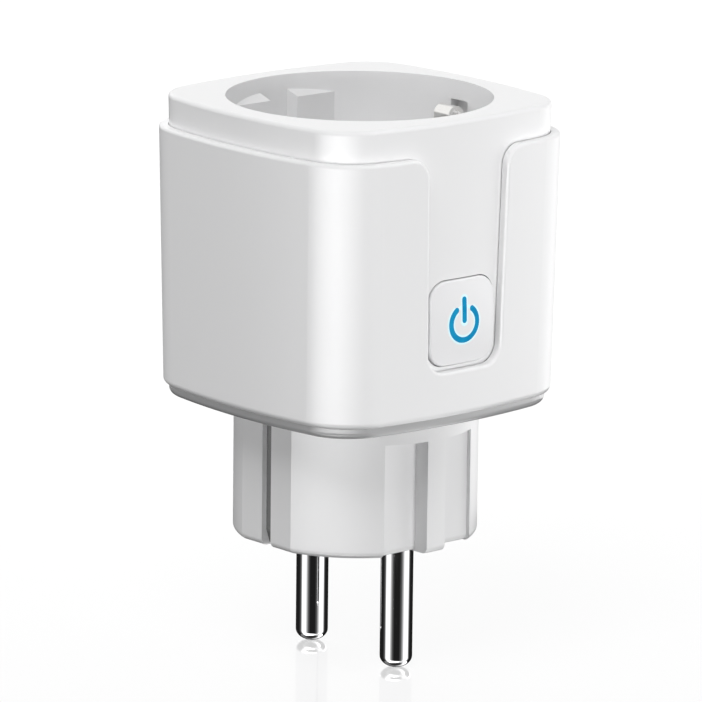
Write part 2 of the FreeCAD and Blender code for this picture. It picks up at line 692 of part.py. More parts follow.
def shutter():
    """Turning child-safety shutter with a ramp at each lobe's edge."""
    z0 = SHUTTER_TOP - SHUTTER_THICK
    plate = union(shutter_sector(SHUTTER_HALF_ANGLE, SHUTTER_REACH, z0, SHUTTER_TOP),
                  rod(SHUTTER_HUB_R, 0, 0, z0, SHUTTER_TOP))
    plate = plate.cut(rod(SHUTTER_PIVOT_R + 0.05, 0, 0, z0 - 1, SHUTTER_TOP + 1))
    ramp = [V(-5, 0, SHUTTER_TOP - 0.1), V(-5, 0, SHUTTER_TOP + 1), V(4, 0, SHUTTER_TOP + 1),
            V(4, 0, SHUTTER_TOP - 1.2)]
    ramp.append(ramp[0])
    cutter = Part.Face(Part.makePolygon(ramp)).extrude(V(0, 6.4, 0))
    cutter.translate(V(0, 6.6, 0))
    turned = cutter.copy()
    turned.rotate(V(0, 0, 0), UP, 180)
    return plate.cut(cutter).cut(turned)


def shutter_spring():
    """Flat hairpin spring that returns the shutter."""
    z0 = SHUTTER_TOP - 1.3
    coil = rod(5.2, 0, 0, z0, z0 + 0.4).cut(rod(4.7, 0, 0, z0 - 1, z0 + 1))
    coil = coil.cut(box(0, 8, -8, 8, z0 - 1, z0 + 1))
    coil = coil.cut(shutter_sector(SHUTTER_HALF_ANGLE + 1, 9, z0 - 1, z0 + 1))
    return coil


def shutter_retainer():
    """Plate that holds the shutter up, with two holes for the pins."""
    z0 = RETAINER_TOP - RETAINER_THICK
    plate = rod(14.0, 0, 0, z0, RETAINER_TOP).common(box(-10.4, 10.4, -14, 14, z0, RETAINER_TOP))
    for side in (-1, 1):
        plate = plate.cut(rod(SOCKET_HOLE_R + 0.1, 0, side * PIN_Y, z0 - 1, RETAINER_TOP + 1))
        plate = plate.cut(rod(0.95, side * RETAINER_SCREW_X, 0, z0 - 1, RETAINER_TOP + 1))
    return plate.cut(rod(SHUTTER_PIVOT_R + 0.1, 0, 0, RETAINER_TOP - 0.7, RETAINER_TOP + 1))


def retainer_screws():
    """Two small screws through the retainer into the recess floor's posts."""
    seat = RETAINER_TOP - RETAINER_THICK
    screws = []
    for side in (-1, 1):
        screws.append(screw(side * RETAINER_SCREW_X, 0, seat, 1.6, 0.9, 0.75, seat + 3.4))
    return Part.makeCompound(screws)


# ---------------------------------------------------------------- boards and components

def main_board():
    """Main circuit board resting on the spigot's rim."""
    board = crowned_block(BOARD_HALF, BOARD_HALF, 6, CROWN_R, BOARD_BOTTOM, BOARD_TOP)
    z0 = BOARD_BOTTOM - 1
    z1 = BOARD_TOP + 1
    cuts = [rod(BOSS_R + 0.4, sx * BOSS_XY, sy * BOSS_XY, z0, z1) for sx in (-1, 1) for sy in (-1, 1)]
    for side in (-1, 1):
        x0, x1 = sorted((side * 18.0, side * 21.5))
        cuts.append(box(x0, x1, -2.0, 2.0, z0, z1))
        cuts.append(rod(1.1, side * POST_X, side * POST_Y, z0, z1))
        cuts.append(box(4.3, 5.3, side * PIN_Y - 2.1, side * PIN_Y + 2.1, z0, z1))
        cuts.append(box(-4.1, -2.9, side * PIN_Y - 1.6, side * PIN_Y + 1.6, z0, z1))
    for x, y in relay_leg_places():
        cuts.append(rod(0.65, x, y, z0, z1))
    cuts.append(box(RELAY_X - 1.6, RELAY_X + 1.6, 7.5, 8.3, z0, z1))
    for cutter in cuts:
        board = board.cut(cutter)
    return board


def board_screws():
    """Two screws that hold the main board to the tray's posts."""
    screws = []
    for side in (-1, 1):
        upright = screw(side * POST_X, side * POST_Y, BOARD_TOP, 1.8, 1.1, 0.85, BOARD_TOP + 3.6)
        screws.append(flipped(upright, BOARD_TOP))
    return Part.makeCompound(screws)


def relay_leg_places():
    """Plan places of the relay's coil and common legs."""
    return [(RELAY_X - 3.2, -8.0), (RELAY_X + 3.2, -8.0), (RELAY_X, 4.6)]


def relay_base():
    """Relay's plastic base with its round legs."""
    base = box(RELAY_X - 4.3, RELAY_X + 4.3, -8.4, 8.4, RELAY_FOOT, RELAY_FOOT + 1.6)
    base = base.cut(box(RELAY_X - 1.6, RELAY_X + 1.6, 7.5, 8.5, RELAY_FOOT - 1, RELAY_FOOT + 2))
    legs = [rod(0.5, x, y, LEG_TIP, RELAY_FOOT + 0.5) for x, y in relay_leg_places()]
    return union(base, *legs)


def relay_case():
    """Relay's dust cover."""
    outer = box(RELAY_X - RELAY_HALF_X, RELAY_X + RELAY_HALF_X, -RELAY_HALF_Y, RELAY_HALF_Y,
                RELAY_FOOT, RELAY_TOP)
    outer = outer.makeFillet(0.6, edges_along(outer, UP) + edges_at_z(outer, RELAY_TOP))
    wall = RELAY_WALL
    inner = box(RELAY_X - RELAY_HALF_X + wall, RELAY_X + RELAY_HALF_X - wall,
                wall - RELAY_HALF_Y, RELAY_HALF_Y - wall, RELAY_FOOT - 1, RELAY_TOP - wall)
    return outer.cut(inner)


def relay_bobbin():
    """Spool of the relay coil."""
    ends = []
    for z in (COIL_LOW, COIL_HIGH - 0.8):
        ends.append(box(RELAY_X - 3.9, RELAY_X + 3.9, COIL_Y - 4.2, COIL_Y + 4.2, z, z + 0.8))
    spool = union(rod(2.3, RELAY_X, COIL_Y, COIL_LOW, COIL_HIGH), *ends)
    return spool.cut(rod(1.75, RELAY_X, COIL_Y, COIL_LOW - 1, COIL_HIGH + 1))


def relay_winding():
    """Enamelled wire pack of the relay coil."""
    pack = rod(3.6, RELAY_X, COIL_Y, COIL_LOW + 0.8, COIL_HIGH - 0.8)
    return pack.cut(rod(2.3, RELAY_X, COIL_Y, COIL_LOW, COIL_HIGH))


def relay_yoke():
    """Iron core and the L-shaped yoke that carries the armature."""
    core = rod(1.7, RELAY_X, COIL_Y, RELAY_FOOT + 1.7, COIL_HIGH + 0.7)
    face = rod(2.5, RELAY_X, COIL_Y, COIL_HIGH, COIL_HIGH + 0.7)
    foot = box(RELAY_X - 3.4, RELAY_X + 3.4, COIL_Y - 3.4, ARMATURE_Y + 0.5, RELAY_FOOT + 1.7, COIL_LOW)
    back = box(RELAY_X - 3.4, RELAY_X + 3.4, ARMATURE_Y - 0.5, ARMATURE_Y + 0.5,
               RELAY_FOOT + 1.7, ARMATURE_Z - 0.1)
    return union(core, face, foot, back)


def relay_armature():
    """Iron rocker over the coil, pivoting on the yoke's upper edge."""
    return box(RELAY_X - 3.2, RELAY_X + 3.2, COIL_Y - 3.0, ARMATURE_Y + 2.0, ARMATURE_Z, ARMATURE_Z + 0.8)


def relay_blade():
    """Contact blade riveted to the armature, with its silver contact."""
    y0 = ARMATURE_Y - 1.5
    blade = box(RELAY_X - 1.8, RELAY_X + 1.8, y0, ARMATURE_Y + 4.6, ARMATURE_Z + 0.8, ARMATURE_Z + 1.05)
    tip = rod(1.3, RELAY_X, ARMATURE_Y + 3.3, ARMATURE_Z + 1.05, ARMATURE_Z + 1.34)
    rivets = []
    for side in (-1, 1):
        rivets.append(rod(0.5, RELAY_X + side, ARMATURE_Y - 0.8, ARMATURE_Z + 1.05, ARMATURE_Z + 1.3))
    return union(blade, tip, *rivets)


def relay_fixed_contact():
    """Fixed contact arm on a leg that comes up through the base."""
    top = ARMATURE_Z + 2.2
    leg = box(RELAY_X - 1.5, RELAY_X + 1.5, 7.7, 8.2, LEG_TIP, top)
    arm = box(RELAY_X - 1.5, RELAY_X + 1.5, 4.2, 8.2, top - 0.4, top)
    tip = rod(1.3, RELAY_X, ARMATURE_Y + 3.3, top - 0.55, top - 0.4)
    return union(leg, arm, tip)


def radio_board():
    """Upright radio module board at the rear."""
    return box(-12.0, 6.0, RADIO_Y, RADIO_Y + 0.8, BOARD_TOP, 44.0)


def radio_shield():
    """Pressed metal can over the radio chip."""
    x0, x1 = -10.5, 1.5
    y0, y1 = 14.2, RADIO_Y
    z0, z1 = BOARD_TOP + 3, BOARD_TOP + 13
    wall = 0.4
    can = box(x0, x1, y0, y1, z0, z1)
    can = can.makeFillet(wall, edges_along(can, NORTH))
    return can.cut(box(x0 + wall, x1 - wall, y0 + wall, y1 + 1, z0 + wall, z1 - wall))


def filter_capacitors():
    """Two electrolytic capacitors that hang from the board into the neck."""
    can_r = 3.9
    foot = BOARD_BOTTOM - 12.0
    crimp_z = BOARD_BOTTOM - 1.9
    crimp_depth = 0.3
    cans = []
    for side in (-1, 1):
        x = side * 9.0
        can = rod(can_r, x, 0, foot, BOARD_BOTTOM)
        can = can.makeFillet(0.5, edges_at_z(can, foot))
        crimp = rod(can_r + 1, x, 0, crimp_z, crimp_z + 0.4)
        cans.append(can.cut(crimp.cut(rod(can_r - crimp_depth, x, 0, foot, BOARD_BOTTOM))))
    return Part.makeCompound(cans)


def film_capacitor():
    """Box-shaped mains filter capacitor."""
    top = BOARD_TOP + 11
    body = box(-17.6, -13.0, -6.5, 6.5, BOARD_TOP, top)
    return body.makeFillet(0.6, edges_along(body, UP) + edges_at_z(body, top))


def transformer_core():
    """Ferrite frame of the supply transformer."""
    frame = box(FERRITE_X0, FERRITE_X1, -FERRITE_HALF_Y, FERRITE_HALF_Y, FERRITE_LOW, FERRITE_HIGH)
    for x in (FERRITE_X0 + FERRITE_WALL, FERRITE_X1 - FERRITE_WALL - FERRITE_WINDOW):
        frame = frame.cut(box(x, x + FERRITE_WINDOW, -3, 3, FERRITE_LOW + 1.6, FERRITE_HIGH - 1.6))
    return frame


def transformer_winding():
    """Taped winding pack around the ferrite's middle leg."""
    gap = 0.05
    x0 = FERRITE_X0 + FERRITE_WALL + gap
    x1 = FERRITE_X1 - FERRITE_WALL - gap
    pack = box(x0, x1, -4.6, 4.6, FERRITE_LOW + 1.6 + gap, FERRITE_HIGH - 1.6 - gap)
    pack = pack.makeFillet(1.2, edges_along(pack, UP))
    leg = box(x0 + FERRITE_WINDOW - 0.07, x1 - FERRITE_WINDOW + 0.07,
              -FERRITE_HALF_Y - gap, FERRITE_HALF_Y + gap, FERRITE_LOW, FERRITE_HIGH)
    return pack.cut(leg)


def leaded_chip(x, y, length, width, height, pitch, legs):
    """Moulded chip with a row of gull-wing legs on two sides."""
    top = BOARD_TOP + height
    body = box(x - length / 2, x + length / 2, y - width / 2, y + width / 2, BOARD_TOP + 0.1, top)
    body = body.makeChamfer(0.15, edges_at_z(body, top))
    pieces = []
    for n in range(legs):
        leg_x = x + (n - (legs - 1) / 2) * pitch
        for side in (-1, 1):
            y0, y1 = sorted((y + side * (width / 2 - 0.2), y + side * (width / 2 + 0.9)))
            pieces.append(box(leg_x - 0.2, leg_x + 0.2, y0, y1, BOARD_TOP, BOARD_TOP + 0.3))
    return union(body, *pieces)


def rectifier():
    """Bridge rectifier."""
    return leaded_chip(-10.5, -11.9, 4.7, 3.9, 2.4, 2.5, 2)


def metering_chip():
    """Energy metering chip."""
    return leaded_chip(10.6, -12.8, 5.0, 2.6, 1.6, 1.27, 4)


def shunt():
    """Current-sensing shunt: a low bridge of resistance alloy."""
    x0, x1 = -15.0, -9.0
    foot = 1.4
    strip = box(x0, x1, -8.8, -6.8, BOARD_TOP, BOARD_TOP + 1.4)
    return strip.cut(box(x0 + foot, x1 - foot, -10, -7, BOARD_TOP - 1, BOARD_TOP + 0.8))


def fuse_resistor():
    """Barrel-shaped fusible resistor lying on the board."""
    x = -11.0
    axis_z = BOARD_TOP + 1.9
    y0, y1 = 7.6, 13.8
    body = rod_y(1.6, x, axis_z, y0, y1)
    ends = body.makeFillet(0.5, [e for e in body.Edges if len(e.Vertexes) == 1])
    lead = rod_y(0.3, x, axis_z, y0 - 0.6, y1 + 0.3)
    drops = [box(x - 0.25, x + 0.25, y - 0.25, y + 0.25, BOARD_TOP, axis_z)
             for y in (y0 - 0.35, y1 + 0.05)]
    return union(ends, lead, *drops)


def inductor():
    """Drum-core inductor."""
    x = -10.3
    drum_r = 2.4
    top = BOARD_TOP + 6.5
    drum = rod(drum_r, x, 0, BOARD_TOP, top)
    waist = rod(drum_r + 1, x, 0, BOARD_TOP + 1, top - 1)
    return drum.cut(waist.cut(rod(drum_r - 0.3, x, 0, BOARD_TOP, top)))


def varistor():
    """Disc varistor standing on two leads."""
    x = 9.6
    y0, y1 = 10.0, 13.2
    centre = BOARD_TOP + 6.4
    disc = rod_y(4.9, x, centre, y0, y1)
    disc = disc.makeFillet(1.2, [e for e in disc.Edges if len(e.Vertexes) == 1])
    leads = [rod(0.35, x + side * 2.5, (y0 + y1) / 2, BOARD_TOP, centre - 2) for side in (-1, 1)]
    return union(disc, *leads)


def all_nodes():
    """Every sub-part by its node name."""
    right_strip = earth_strip()
    right_riser = earth_riser()
    right_clip = earth_clip()
    return {
        "outer_sleeve": outer_sleeve(),
        "core_housing": core_housing(),
        "base_housing": base_housing(),
        "housing_screws": housing_screws(),
        "power_button": power_button(),
        "button_icon": button_icon(),
        "switch_board": switch_board(),
        "tact_switch": tact_switch(),
        "switch_plunger": switch_plunger(),
        "switch_dome": switch_dome(),
        "status_leds": status_leds(),
        "front_pin": plug_pin(-1),
        "back_pin": plug_pin(1),
        "front_busbar": busbar(-1),
        "back_busbar": busbar(1),
        "earth_strip_right": right_strip,
        "earth_strip_left": mirrored_x(right_strip),
        "earth_bridge": earth_bridge(),
        "earth_riser_right": right_riser,
        "earth_riser_left": mirrored_x(right_riser),
        "earth_clip_right": right_clip,
        "earth_clip_left": mirrored_x(right_clip),
        "front_contact": socket_contact(-1),
        "back_contact": socket_contact(1),
        "shutter": shutter(),
        "shutter_spring": shutter_spring(),
        "shutter_retainer": shutter_retainer(),
        "retainer_screws": retainer_screws(),
        "main_board": main_board(),
        "board_screws": board_screws(),
        "relay_base": relay_base(),
        "relay_case": relay_case(),
        "relay_bobbin": relay_bobbin(),
        "relay_winding": relay_winding(),
        "relay_yoke": relay_yoke(),
        "relay_armature": relay_armature(),
        "relay_blade": relay_blade(),
        "relay_fixed_contact": relay_fixed_contact(),
        "radio_board": radio_board(),
        "radio_shield": radio_shield(),
        "filter_capacitors": filter_capacitors(),
        "film_capacitor": film_capacitor(),
        "transformer_core": transformer_core(),
        "transformer_winding": transformer_winding(),
        "rectifier": rectifier(),
        "metering_chip": metering_chip(),
        "shunt": shunt(),
        "fuse_resistor": fuse_resistor(),
        "inductor": inductor(),
        "varistor": varistor(),
    }


def main():
    """Write one STEP file for each sub-part."""
    os.makedirs("parts", exist_ok=True)
    for name, shape in all_nodes().items():
        if not shape.isValid():
            print("not valid:", name)
        shape.exportStep("parts/" + name + ".step")
        print(name, len(shape.Solids), round(shape.Volume, 1))


main()
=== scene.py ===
"""Looks of the plug-through smart plug.

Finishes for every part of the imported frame, turned, sprung and soldered detail around them, and a
plain pale studio.
"""

import json
import logging
import math
from dataclasses import dataclass
from enum import Enum
from typing import Any, Dict, List, Optional, Sequence, Tuple, Union

import bmesh
import bpy
from mathutils import Matrix, Vector


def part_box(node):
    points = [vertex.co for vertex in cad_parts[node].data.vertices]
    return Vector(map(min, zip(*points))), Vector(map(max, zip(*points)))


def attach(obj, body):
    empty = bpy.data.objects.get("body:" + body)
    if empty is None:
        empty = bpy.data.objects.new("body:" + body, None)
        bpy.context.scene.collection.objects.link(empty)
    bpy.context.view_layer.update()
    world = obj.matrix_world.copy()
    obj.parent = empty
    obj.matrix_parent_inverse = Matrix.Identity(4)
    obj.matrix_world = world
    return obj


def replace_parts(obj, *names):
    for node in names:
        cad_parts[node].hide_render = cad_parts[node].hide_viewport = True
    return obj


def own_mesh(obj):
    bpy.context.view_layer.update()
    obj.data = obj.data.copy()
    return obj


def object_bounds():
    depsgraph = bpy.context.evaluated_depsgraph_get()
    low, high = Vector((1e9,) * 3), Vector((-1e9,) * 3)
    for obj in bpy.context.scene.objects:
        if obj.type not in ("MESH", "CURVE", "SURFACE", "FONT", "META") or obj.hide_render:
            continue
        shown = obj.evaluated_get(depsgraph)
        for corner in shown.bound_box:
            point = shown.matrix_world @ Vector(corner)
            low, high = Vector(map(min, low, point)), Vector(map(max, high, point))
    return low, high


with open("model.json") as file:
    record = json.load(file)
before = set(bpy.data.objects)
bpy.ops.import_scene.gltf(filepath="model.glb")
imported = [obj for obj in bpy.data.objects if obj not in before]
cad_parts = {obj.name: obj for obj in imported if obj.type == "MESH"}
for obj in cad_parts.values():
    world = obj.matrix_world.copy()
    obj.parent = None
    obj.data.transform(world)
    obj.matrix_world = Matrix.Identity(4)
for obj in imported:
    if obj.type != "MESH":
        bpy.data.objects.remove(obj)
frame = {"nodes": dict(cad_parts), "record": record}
CAD_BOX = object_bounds()

LOG = logging.getLogger("smart_plug")
MM = 0.001
MERGE_WITHIN = 1e-7
BEVEL_STEPS = 2
HALF_TURN = 180.0
FULL_TURN = 360.0
NOISE_MIDDLE = 0.5
Colour = Tuple[float, float, float]
Settings = Dict[str, Any]
Inputs = Dict[Union[int, str], Any]
Levels = Tuple[Tuple[float, float], ...]
Constants = Tuple[Tuple[str, Any], ...]
BLACK: Colour = (0.0, 0.0, 0.0)
PURE_WHITE: Colour = (1.0, 1.0, 1.0)


class Axis(Enum):
    """The three directions of the frame."""

    X = 0
    Y = 1
    Z = 2

    def vector(self) -> Vector:
        """Unit vector along this direction."""
        return Vector([1.0 if i == self.value else 0.0 for i in range(3)])


class Body(Enum):
    """The moving groups of the frame that new pieces ride on."""

    HOUSING = "housing"
    SHUTTER = "shutter"


# ---------------------------------------------------------------- shader graphs


class Term:
    """A node's output that can stand in a Python expression, which then adds Math nodes."""

    def __init__(self, graph: "Graph", socket: Optional[bpy.types.NodeSocket]) -> None:
        """Keeps the graph and the socket, which an output node has none of."""
        self.graph = graph
        self.socket = socket

    def _math(self, operation: str, *values: Any) -> "Term":
        """One Math node on the given values."""
        return self.graph.node("ShaderNodeMath", {"operation": operation}, dict(enumerate(values)))

    def __add__(self, other: Any) -> "Term":
        """self + other."""
        return self._math("ADD", self, other)

    def __radd__(self, other: Any) -> "Term":
        """other + self."""
        return self._math("ADD", other, self)

    def __sub__(self, other: Any) -> "Term":
        """self - other."""
        return self._math("SUBTRACT", self, other)

    def __rsub__(self, other: Any) -> "Term":
        """other - self."""
        return self._math("SUBTRACT", other, self)

    def __mul__(self, other: Any) -> "Term":
        """self * other."""
        return self._math("MULTIPLY", self, other)

    def __rmul__(self, other: Any) -> "Term":
        """other * self."""
        return self._math("MULTIPLY", other, self)

    def __truediv__(self, other: Any) -> "Term":
        """self / other."""
        return self._math("DIVIDE", self, other)

    def __pow__(self, other: Any) -> "Term":
        """self to the power of other."""
        return self._math("POWER", self, other)

    def __abs__(self) -> "Term":
        """Size of self."""
        return self._math("ABSOLUTE", self)

    def __lt__(self, other: Any) -> "Term":
        """1 where self is below other, else 0."""
        return self._math("LESS_THAN", self, other)

    def __gt__(self, other: Any) -> "Term":
        """1 where self is above other, else 0."""
        return self._math("GREATER_THAN", self, other)

    def root(self) -> "Term":
        """Square root of self."""
        return self._math("SQRT", self)

    def least(self, other: Any) -> "Term":
        """The smaller of self and other."""
        return self._math("MINIMUM", self, other)

    def most(self, other: Any) -> "Term":
        """The larger of self and other."""
        return self._math("MAXIMUM", self, other)

    def angle_from(self, other: "Term") -> "Term":
        """Arc tangent of self over other, in radians."""
        return self._math("ARCTAN2", self, other)

    def repeat(self, period: float) -> "Term":
        """Distance of self from the middle of its repeat, from 0 to half a period."""
        return self._math("PINGPONG", self, period / 2)

    def wrapped(self, low: float, high: float) -> "Term":
        """Self moved by whole spans until it lies between low and high."""
        return self._math("WRAP", self, high, low)

    def soft_step(self, low: float, high: float) -> "Term":
        """0 below low, 1 above high and a smooth rise between them."""
        inputs = {"Value": self, "From Min": low, "From Max": high}
        return self.graph.node("ShaderNodeMapRange", {"interpolation_type": "SMOOTHSTEP"}, inputs)


class Graph:
    """One node tree and the ways to add nodes to it."""

    def __init__(self, tree: bpy.types.NodeTree) -> None:
        """Starts from an empty tree."""
        self.tree = tree
        self.tree.nodes.clear()

    def node(self, kind: str, settings: Optional[Settings] = None, inputs: Optional[Inputs] = None,
             output: Union[int, str] = 0) -> Term:
        """Adds one node.

        Args:
            kind: The node's type.
            settings: Its own settings, set first; "stops" fills a ramp with (place, colour) pairs.
            inputs: Values or Terms for its sockets, by name or number.
            output: Which of its outputs to hand back.

        Returns:
            That output as a Term, empty for a node that has no outputs.
        """
        made = self.tree.nodes.new(kind)
        for key, value in (settings or {}).items():
            if key == "stops":
                self._fill_ramp(made.color_ramp, value)
            else:
                setattr(made, key, value)
        for key, value in (inputs or {}).items():
            if isinstance(value, Term):
                self.tree.links.new(value.socket, made.inputs[key])
            else:
                made.inputs[key].default_value = value
        return Term(self, made.outputs[output] if len(made.outputs) else None)

    @staticmethod
    def _fill_ramp(ramp: bpy.types.ColorRamp, stops: Sequence[Tuple[float, Colour]]) -> None:
        """Sets a ramp's stops.

        Args:
            ramp: The colour ramp.
            stops: Its places and colours, in rising order.
        """
        while len(ramp.elements) < len(stops):
            ramp.elements.new(1.0)
        for element, (place, colour) in zip(ramp.elements, stops):
            element.position = place
            element.color = (*colour, 1.0)

    def place(self) -> Term:
        """The surface point in the frame, in metres."""
        return self.node("ShaderNodeTexCoord", output="Object")

    def split(self, vector: Term) -> Tuple[Term, Term, Term]:
        """The three parts of a vector."""
        made = self.node("ShaderNodeSeparateXYZ", None, {0: vector})
        return tuple(Term(self, s) for s in made.socket.node.outputs)

    def stretched(self, scale: Tuple[float, float, float]) -> Term:
        """The surface point stretched by a scale, for streaks and grain."""
        return self.node("ShaderNodeMapping", None, {"Vector": self.place(), "Scale": scale})

    def noise(self, cell: float, detail: float = 2.0, where: Optional[Term] = None) -> Term:
        """Noise in cells of a size in metres, at the surface point or at another."""
        inputs = {"Vector": where or self.place(), "Scale": 1.0 / cell, "Detail": detail}
        return self.node("ShaderNodeTexNoise", None, inputs)

    def blend(self, share: Any, first: Any, second: Any) -> Term:
        """Colour that goes from first to second as share goes from 0 to 1."""
        inputs = {0: share, 6: rgba(first), 7: rgba(second)}
        return self.node("ShaderNodeMix", {"data_type": "RGBA"}, inputs, 2)

    def bump(self, height: Term, depth: float, under: Optional[Term] = None) -> Term:
        """Normal of a surface with a fine relief.

        Args:
            height: The relief, about 0 to 1.
            depth: What one unit of it means in metres.
            under: A coarser relief's normal, if there is one.

        Returns:
            The new normal.
        """
        inputs = {"Height": height, "Distance": depth, "Strength": 1.0}
        if under is not None:
            inputs["Normal"] = under
        return self.node("ShaderNodeBump", None, inputs)


def rgba(colour: Any) -> Any:
    """A colour with its fourth channel, or a Term as it is."""
    return colour if isinstance(colour, Term) else (*colour, 1.0)


def shade(colour: Colour, by: float) -> Colour:
    """A colour made lighter or darker by a factor."""
    return tuple(min(1.0, c * by) for c in colour)


def blank_material(name: str) -> Tuple[bpy.types.Material, Graph]:
    """Makes a material whose node tree is still to be filled.

    Args:
        name: The material's name.

    Returns:
        The material and its empty graph.
    """
    made = bpy.data.materials.new(name)
    made.use_nodes = True
    return made, Graph(made.node_tree)


# ---------------------------------------------------------------- finishes


@dataclass(frozen=True)
class Finish:
    """A surface with a little mottling in its colour and gloss and a fine relief.

    Every other finish starts from this one and changes what sets it apart.
    """

    colour: Colour
    roughness: float = 0.4
    metallic: float = 0.0
    mottle: float = 0.02
    mottle_cell: float = 0.006
    mottle_detail: float = 3.0
    gloss_spread: float = 0.05
    gloss_cell_share: float = 0.6
    grain_cell: float = 0.0006
    grain_depth: float = 0.000002
    constants: Constants = ()

    def base_colour(self, graph: Graph) -> Any:
        """The colour over the surface."""
        dark, light = shade(self.colour, 1 - self.mottle), shade(self.colour, 1 + self.mottle)
        return graph.blend(graph.noise(self.mottle_cell, self.mottle_detail), dark, light)

    def gloss(self, graph: Graph) -> Any:
        """The roughness over the surface."""
        patches = graph.noise(self.mottle_cell * self.gloss_cell_share) - NOISE_MIDDLE
        return self.roughness + self.gloss_spread * patches

    def relief(self, graph: Graph) -> Term:
        """The normal over the surface."""
        return graph.bump(graph.noise(self.grain_cell), self.grain_depth)

    def extras(self, graph: Graph) -> Inputs:
        """More sockets that vary over the surface; none here."""
        return {}

    def material(self, name: str) -> bpy.types.Material:
        """Builds the material.

        Args:
            name: The material's name.

        Returns:
            The new material.
        """
        made, graph = blank_material(name)
        inputs: Inputs = {"Base Color": self.base_colour(graph), "Roughness": self.gloss(graph),
                          "Metallic": self.metallic, "Normal": self.relief(graph)}
        inputs.update(dict(self.constants))
        inputs.update(self.extras(graph))
        shader = graph.node("ShaderNodeBsdfPrincipled", None, inputs)
        graph.node("ShaderNodeOutputMaterial", None, {"Surface": shader})
        return made


@dataclass(frozen=True)
class MouldedPlastic(Finish):
    """Glossy moulded plastic: an even colour, faint flow marks and a soft orange-peel skin."""

    roughness: float = 0.3
    mottle: float = 0.008
    mottle_cell: float = 0.012
    skin_cell: float = 0.0022
    skin_detail: float = 1.0
    skin_depth: float = 0.0000035
    constants: Constants = (("Coat Weight", 0.35), ("Coat Roughness", 0.12), ("IOR", 1.49))

    def relief(self, graph: Graph) -> Term:
        """Broad orange peel with a finer grain on it."""
        skin = graph.bump(graph.noise(self.skin_cell, self.skin_detail), self.skin_depth)
        return graph.bump(graph.noise(self.grain_cell), self.grain_depth, skin)


@dataclass(frozen=True)
class TrimmedPlastic(MouldedPlastic):
    """White moulding whose rim, the part above a height, is shinier and a darker grey that is partly
    its own silver grey and partly painted shade of the downward-facing tray edge.
    """

    # Rim colour: partly the trim's own silver grey, partly painted shade of the downward-facing tray
    # edge.
    rim_colour: Colour = (0.46, 0.46, 0.465)
    rim_roughness: float = 0.14
    rim_foot: float = 0.02015
    rim_blend: float = 0.00005

    def rim(self, graph: Graph) -> Term:
        """1 on the rim and 0 below it."""
        _, _, z = graph.split(graph.place())
        return z.soft_step(self.rim_foot, self.rim_foot + self.rim_blend)

    def base_colour(self, graph: Graph) -> Any:
        """White below; on the rim a darker grey that is partly its own tone and partly painted shade.
        """
        return graph.blend(self.rim(graph), super().base_colour(graph), self.rim_colour)

    def gloss(self, graph: Graph) -> Any:
        """Smoother on the rim."""
        below = super().gloss(graph)
        return below + self.rim(graph) * (self.rim_roughness - below)


@dataclass(frozen=True)
class HaloPlastic(MouldedPlastic):
    """Button plastic that glows around a lit symbol, where light creeps through its thin front."""

    centre_z: float = 0.03525
    ring: float = 0.00248
    bar_low: float = 0.0355
    bar_high: float = 0.0388
    opening: float = math.radians(36.0)
    reach: float = 0.00042
    core: float = 0.00042
    tint: Colour = (0.42, 0.9, 1.0)
    tint_share: float = 0.45
    glow_share: float = 0.22
    front_y: float = -0.0225

    def halo(self, graph: Graph) -> Term:
        """How strongly the surface glows.

        Args:
            graph: The tree to add to.

        Returns:
            0 far from the symbol, rising to 1 at its edge.
        """
        x, y, z = graph.split(graph.place())
        up = z - self.centre_z
        radius = (x * x + up * up).root()
        from_ring = abs(radius - self.ring)
        open_side = abs(x.angle_from(up)) < self.opening
        past_bar = (self.bar_low - z).most(z - self.bar_high).most(0.0)
        from_bar = (x * x + past_bar * past_bar).root()
        distance = (from_ring + open_side * self.reach).least(from_bar)
        near = 1.0 - distance.soft_step(self.core, self.core + self.reach)
        return near * (y < self.front_y)

    def base_colour(self, graph: Graph) -> Any:
        """The plastic's own colour, tinted by the glow."""
        plain = super().base_colour(graph)
        return graph.blend(self.halo(graph) * self.tint_share, plain, self.tint)

    def extras(self, graph: Graph) -> Inputs:
        """The glow itself."""
        glow = graph.blend(self.halo(graph), BLACK, shade(self.tint, self.glow_share))
        return {"Emission Color": glow, "Emission Strength": 1.0}


@dataclass(frozen=True)
class LitGuide(Finish):
    """Coloured light guide, lit from behind a little unevenly."""

    glow: Colour = (0.004, 0.17, 0.33)
    pale: Colour = (0.010, 0.22, 0.39)
    glow_cell: float = 0.0016
    glow_detail: float = 1.0
    pale_from: float = 0.35
    pale_full: float = 0.7

    def extras(self, graph: Graph) -> Inputs:
        """Light with soft uneven patches from the lamps behind.

        Args:
            graph: The tree to add to.

        Returns:
            The sockets that make it glow.
        """
        noise = graph.noise(self.glow_cell, self.glow_detail)
        glow = graph.blend(noise.soft_step(self.pale_from, self.pale_full), self.glow, self.pale)
        return {"Emission Color": glow, "Emission Strength": 1.0}


@dataclass(frozen=True)
class PlatedMetal(Finish):
    """Bright plated metal with hairline marks from use along one direction."""

    metallic: float = 1.0
    roughness: float = 0.06
    mottle: float = 0.01
    gloss_spread: float = 0.02
    along: Axis = Axis.Z
    line_width: float = 0.00009
    line_length: float = 0.004
    line_depth: float = 0.0000004
    line_gloss: float = 0.08
    dull_from: float = 0.55
    dull_full: float = 0.85

    def streaks(self, graph: Graph) -> Term:
        """Fine lines along the metal's working direction.

        Args:
            graph: The tree to add to.

        Returns:
            Noise drawn out along that direction.
        """
        scale = [1.0 / self.line_width] * 3
        scale[self.along.value] = 1.0 / self.line_length
        return graph.noise(1.0, where=graph.stretched(tuple(scale)))

    def gloss(self, graph: Graph) -> Any:
        """Roughness that follows the lines."""
        dull = self.streaks(graph).soft_step(self.dull_from, self.dull_full)
        return self.roughness + self.line_gloss * dull

    def relief(self, graph: Graph) -> Term:
        """The lines as a very shallow relief."""
        return graph.bump(self.streaks(graph), self.line_depth)


